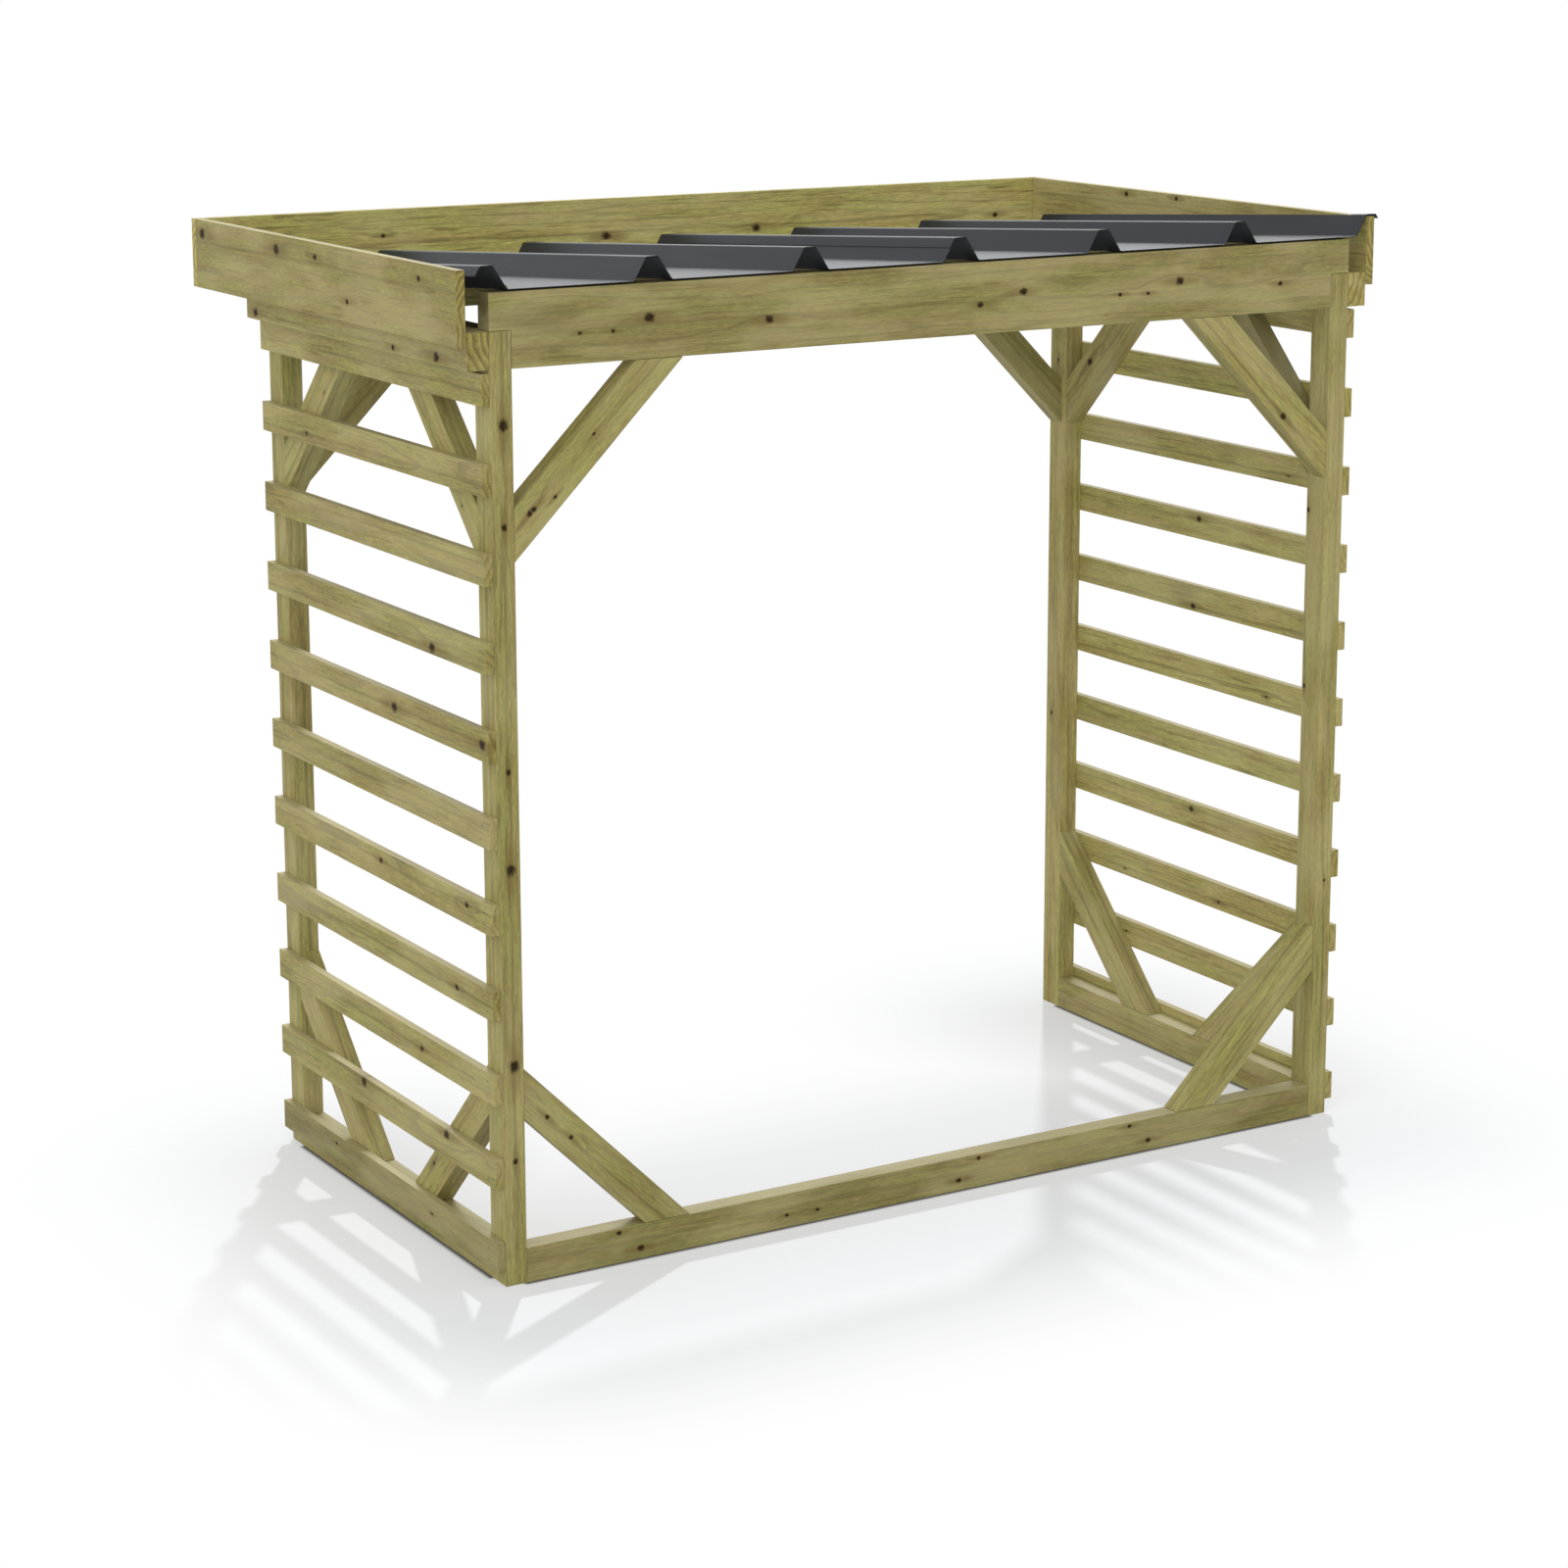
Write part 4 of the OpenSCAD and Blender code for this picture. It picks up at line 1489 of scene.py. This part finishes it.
class LOG_STORE_OT_stage(bpy.types.Operator):
    """Sets up the camera, the floor and the light."""

    bl_idname = "log_store.stage"
    bl_label = "Studio"

    def execute(self, context):
        studio = context.scene.log_store_studio
        self.add_camera(context, studio)
        self.add_sky(context, studio)
        floor = self.add_floor(context, studio)
        sun = self.add_lamp(context, "studio_sun", studio.sun_strength, studio.sun_height, studio.sun_turn)
        sun.data.angle = studio.sun_spread
        self.link_light(sun, floor, "INCLUDE")
        back = self.add_lamp(context, "studio_back", studio.back_strength, studio.sun_height, studio.sun_turn)
        back.data.angle = studio.back_spread
        self.link_light(back, floor, "EXCLUDE")
        front = self.add_lamp(
            context, "studio_front", studio.front_strength, studio.front_height, studio.front_turn
        )
        front.data.angle = studio.front_spread
        fill = self.add_lamp(
            context, "studio_fill", studio.fill_strength, studio.fill_height, studio.fill_turn
        )
        fill.data.use_shadow = False
        for lamp in (front, fill):
            self.link_light(lamp, bpy.data.objects["dressed_back_beam"], "EXCLUDE")
        context.scene.view_settings.view_transform = "Standard"
        return {"FINISHED"}

    def add_camera(self, context, studio):
        """The camera at the place that was worked out from the photo."""
        lens = bpy.data.cameras.new("studio_camera")
        lens.sensor_width = SENSOR_WIDTH
        lens.lens = lens.sensor_width * studio.focal_pixels / IMAGE_SIDE
        lens.shift_x = 0.5 - studio.middle_across / IMAGE_SIDE
        lens.shift_y = studio.middle_down / IMAGE_SIDE - 0.5
        camera = bpy.data.objects.new("studio_camera", lens)
        camera.location = studio.camera_place
        camera.rotation_euler = (math.pi / 2.0 - studio.camera_pitch, 0.0, -studio.camera_yaw)
        context.scene.collection.objects.link(camera)
        context.scene.camera = camera

    def add_sky(self, context, studio):
        """An even sky that lights the store and is plain white where it is seen."""
        world = bpy.data.worlds.new("studio_sky")
        sky = Nodes(world)
        light = sky.node("ShaderNodeBackground", {"Color": WHITE, "Strength": studio.sky_strength}).outputs[0]
        white = sky.node("ShaderNodeBackground", {"Color": WHITE}).outputs[0]
        mixed = sky.mix_shaders(sky.seen_directly(), light, white)
        sky.node("ShaderNodeOutputWorld", {"Surface": mixed})
        context.scene.world = world

    def add_lamp(self, context, name, strength, height, turn):
        """A far lamp at a height above the horizon and a turn from straight behind the store."""
        lamp = bpy.data.lights.new(name, "SUN")
        lamp.energy = strength
        holder = bpy.data.objects.new(name, lamp)
        level = math.cos(height)
        towards = Vector((math.sin(turn) * level, math.cos(turn) * level, math.sin(height)))
        holder.rotation_mode = "QUATERNION"
        holder.rotation_quaternion = (-towards).to_track_quat("-Z", "Y")
        holder.location = towards * LAMP_DISTANCE
        context.scene.collection.objects.link(holder)
        return holder

    def link_light(self, lamp, thing, state):
        """Lets a lamp light one thing alone, or everything but that thing."""
        linked = bpy.data.collections.new(f"{lamp.name}_links")
        linked.objects.link(thing)
        linked.collection_objects[0].light_linking.link_state = state
        lamp.light_linking.receiver_collection = linked

    def add_floor(self, context, studio):
        """A round floor under the store."""
        shape = bmesh.new()
        bmesh.ops.create_circle(shape, cap_ends=True, segments=FLOOR_SIDES, radius=studio.floor_radius)
        mesh = bpy.data.meshes.new("studio_floor")
        shape.to_mesh(mesh)
        shape.free()
        mesh.materials.append(self.floor_finish(context, studio))
        floor = bpy.data.objects.new("studio_floor", mesh)
        context.scene.collection.objects.link(floor)
        return floor

    def floor_finish(self, context, studio):
        """A pale floor whose cast shadow shows beside the store and fades out around it, with painted shade
        that darkens it near the store and inside its front, and a painted contact shadow along the bottom
        rails.
        """
        colours = context.scene.log_store_colours
        finish = Finish("studio_floor")
        place = finish.geometry("Position")
        away, close = studio.floor_radius, studio.floor_radius
        for name in BOTTOM_RAILS:
            low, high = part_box(name)
            close = finish.sum("MINIMUM", self.outside(finish, place, low, high, 0.0), close)
            if name == "front_bottom_rail":
                high.y += studio.shadow_depth
            away = finish.sum("MINIMUM", self.outside(finish, place, low, high, studio.shadow_lean), away)
        fade = finish.ease(away, Ramp(studio.fade_start, studio.fade_end, 1.0 - studio.shadow_share, 1.0))
        # Painted shade: the floor's glow is dimmer near the store
        glow_with_painted_shade = finish.ease(away, Ramp(0.0, studio.painted_shade_reach, studio.painted_shade_level, 1.0))
        # Painted contact shadow: a dark line along the bottom rails
        foot = finish.ease(close, Ramp(0.0, studio.contact_shadow_line, studio.contact_shadow_share, 0.0))
        lit, bounce, dark = (
            finish.node("ShaderNodeBsdfDiffuse", {"Color": opaque(colour)}).outputs[0]
            for colour in (colours.floor, colours.floor_bounce, colours.contact_shadow_line)
        )
        white = finish.node("ShaderNodeEmission", {"Color": WHITE, "Strength": glow_with_painted_shade}).outputs[0]
        open_floor = finish.mix_shaders(fade, lit, white)
        seen = finish.mix_shaders(foot, open_floor, dark)
        return finish.end(finish.mix_shaders(finish.seen_directly(), bounce, seen))

    @staticmethod
    def outside(finish, place, low, high, lean):
        """How far a place on the floor is outside a rail's outline, which may lean to the front."""
        middle = (low + high) / 2.0
        half = (high - low) / 2.0
        leaning = (middle.x, middle.y - lean, 0.0)
        from_middle = finish.vector("ABSOLUTE", finish.vector("SUBTRACT", place, leaning))
        beyond = finish.vector("SUBTRACT", from_middle, (half.x, half.y, 0.0))
        return finish.length(finish.vector("MAXIMUM", beyond))


class LOG_STORE_OT_posts(bpy.types.Operator):
    """Dresses the four posts."""

    bl_idname = "log_store.posts"
    bl_label = "Posts"

    def execute(self, context):
        dress_straight(context, POSTS, POST_AXES, FRAME_PINE)
        return {"FINISHED"}


class LOG_STORE_OT_rails(bpy.types.Operator):
    """Dresses the bottom rails, the side top rails and the back beam."""

    bl_idname = "log_store.rails"
    bl_label = "Rails"

    def execute(self, context):
        dress_straight(context, CROSS_RAILS, CROSS_AXES, FRAME_PINE)
        dress_straight(context, SIDE_RAILS, SIDE_AXES, FRAME_PINE)
        return {"FINISHED"}


class LOG_STORE_OT_front_beam(bpy.types.Operator):
    """Dresses the front beam with its half laps."""

    bl_idname = "log_store.front_beam"
    bl_label = "Front beam"

    def execute(self, context):
        timber = context.scene.log_store_timber
        low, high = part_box("front_beam")
        post_low, post_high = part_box("front_left_post")
        lap = post_high.z - low.z
        beam = lapped_beam("front_beam", low, high, post_high.x - post_low.x, lap, timber)
        timber_piece(context, "front_beam", [beam], FRAME_PINE)
        return {"FINISHED"}


class LOG_STORE_OT_braces(bpy.types.Operator):
    """Dresses the corner braces."""

    bl_idname = "log_store.braces"
    bl_label = "Braces"

    def execute(self, context):
        timber = context.scene.log_store_timber
        for name in CROSS_BRACES + SIDE_BRACES:
            low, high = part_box(name)
            timber_piece(context, name, [corner_brace(name, low, high, timber)], FRAME_PINE)
        return {"FINISHED"}


class LOG_STORE_OT_slats(bpy.types.Operator):
    """Dresses the side slats."""

    bl_idname = "log_store.slats"
    bl_label = "Slats"

    def execute(self, context):
        timber = context.scene.log_store_timber
        for name in SLATS:
            low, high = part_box(name)
            timber_piece(context, name, side_slats(name, low, high, timber), SLAT_PINE)
        return {"FINISHED"}


class LOG_STORE_OT_battens(bpy.types.Operator):
    """Dresses the side battens."""

    bl_idname = "log_store.battens"
    bl_label = "Battens"

    def execute(self, context):
        dress_straight(context, BATTENS, SIDE_AXES, FRAME_PINE)
        return {"FINISHED"}


class LOG_STORE_OT_fascia(bpy.types.Operator):
    """Dresses the fascia boards."""

    bl_idname = "log_store.fascia"
    bl_label = "Fascia"

    def execute(self, context):
        dress_straight(context, SIDE_FASCIAS, SIDE_AXES, FASCIA_PINE)
        dress_straight(context, ("back_fascia",), CROSS_AXES, FASCIA_PINE)
        return {"FINISHED"}


class LOG_STORE_OT_roof(bpy.types.Operator):
    """Dresses the two folded roof sheets."""

    bl_idname = "log_store.roof"
    bl_label = "Roof sheets"

    def execute(self, context):
        roof = context.scene.log_store_roof
        plan = RoofPlan(roof)
        lap_rib = roof.rib_count // 2
        last_rib = roof.rib_count - 1
        over = roof.thickness + roof.clearance
        trim = plan.fascia_inside - roof.clearance
        left_line = sheet_line(plan, 0, lap_rib, roof.free_leg, roof.covered_leg, 0.0)
        right_line = sheet_line(plan, lap_rib, last_rib, roof.free_leg, roof.cap_leg, over)
        left_mesh = sheet_mesh("dressed_left_roof_sheet", plan, left_line)
        right_mesh = sheet_mesh("dressed_right_roof_sheet", plan, cut_line(right_line, trim), trim)
        for mesh, node in ((left_mesh, "left_roof_sheet"), (right_mesh, "right_roof_sheet")):
            piece = shown_piece(context, mesh.name, mesh, ROOF_PAINT)
            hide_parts(node)
        return {"FINISHED"}


class LOG_STORE_OT_nails(bpy.types.Operator):
    """Drives the nails of the slats, battens and fascia boards, flush with the wood."""

    bl_idname = "log_store.nails"
    bl_label = "Nails"

    def execute(self, context):
        timber = context.scene.log_store_timber
        fixings = context.scene.log_store_fixings
        rings = section(fixings.nail_radius, NAIL_SECTION)
        rows = []
        for side, outward in (("left", -UNITS[X_AXIS]), ("right", UNITS[X_AXIS])):
            rows.append((f"{side}_slat_nails", slat_nail_points(side, timber, fixings), outward))
            points = fascia_nail_points(side, fixings) + batten_nail_points(side)
            rows.append((f"{side}_fascia_nails", points, outward))
        rows.append(("back_fascia_nails", back_nail_points(), UNITS[Y_AXIS]))
        for name, points, outward in rows:
            places = [facing(point, outward) for point in points]
            heads_piece(context, name, places, rings, NAIL_SIDES, NAIL_STEEL)
        return {"FINISHED"}


class LOG_STORE_OT_roof_screws(bpy.types.Operator):
    """Sets the roof screws and their washers beside the ribs, over both beams."""

    bl_idname = "log_store.roof_screws"
    bl_label = "Roof screws"

    def execute(self, context):
        roof = context.scene.log_store_roof
        fixings = context.scene.log_store_fixings
        plan = RoofPlan(roof)
        wide = fixings.washer_radius
        places = []
        for index in range(roof.rib_count - 1):
            across = plan.rib_middle(index) + roof.rib_foot / 2.0 + SCREW_BESIDE_RIB * wide
            for middle in (plan.beam_middle, plan.back_middle):
                down = (middle - plan.front) / math.cos(plan.slope) + wide
                point = plan.to_frame(across, down, roof.thickness - roof.waviness)
                places.append(facing(point, plan.to_frame(across, down, 1.0) - point))
        washer = section(wide, WASHER_SECTION)
        screw = section(wide, FLANGE_SECTION) + section(fixings.screw_head, HEAD_SECTION)
        heads_piece(context, "roof_washers", places, washer, WASHER_SIDES, WASHER_RUBBER)
        heads_piece(context, "roof_screw_heads", places, screw, HEAD_SIDES, NAIL_STEEL)
        return {"FINISHED"}


class LOG_STORE_PT_build(bpy.types.Panel):
    """Lists the steps that build the log store."""

    bl_label = "Log store"
    bl_idname = "LOG_STORE_PT_build"
    bl_space_type = "VIEW_3D"
    bl_region_type = "UI"
    bl_category = "Log store"

    def draw(self, context):
        for step in STEPS:
            self.layout.operator(step.bl_idname)


GROUPS = {
    "log_store_timber": LogStoreTimber,
    "log_store_roof": LogStoreRoof,
    "log_store_fixings": LogStoreFixings,
    "log_store_colours": LogStoreColours,
    "log_store_studio": LogStoreStudio,
}
STEPS = (
    LOG_STORE_OT_posts,
    LOG_STORE_OT_rails,
    LOG_STORE_OT_front_beam,
    LOG_STORE_OT_braces,
    LOG_STORE_OT_slats,
    LOG_STORE_OT_battens,
    LOG_STORE_OT_fascia,
    LOG_STORE_OT_roof,
    LOG_STORE_OT_nails,
    LOG_STORE_OT_roof_screws,
    LOG_STORE_OT_stage,
)


def register():
    """Adds the settings, the steps and their panel to Blender."""
    for group in GROUPS.values():
        bpy.utils.register_class(group)
    for name, group in GROUPS.items():
        setattr(bpy.types.Scene, name, PointerProperty(type=group))
    for step in STEPS:
        bpy.utils.register_class(step)
    bpy.utils.register_class(LOG_STORE_PT_build)


def unregister():
    """Takes the panel, the steps and the settings away again."""
    bpy.utils.unregister_class(LOG_STORE_PT_build)
    for step in reversed(STEPS):
        bpy.utils.unregister_class(step)
    for name in GROUPS:
        delattr(bpy.types.Scene, name)
    for group in reversed(list(GROUPS.values())):
        bpy.utils.unregister_class(group)


def main():
    """Builds the store and its studio."""
    register()
    bpy.ops.log_store.posts()
    bpy.ops.log_store.rails()
    bpy.ops.log_store.front_beam()
    bpy.ops.log_store.braces()
    bpy.ops.log_store.slats()
    bpy.ops.log_store.battens()
    bpy.ops.log_store.fascia()
    bpy.ops.log_store.roof()
    bpy.ops.log_store.nails()
    bpy.ops.log_store.roof_screws()
    bpy.ops.log_store.stage()


if __name__ == "__main__":
    main()
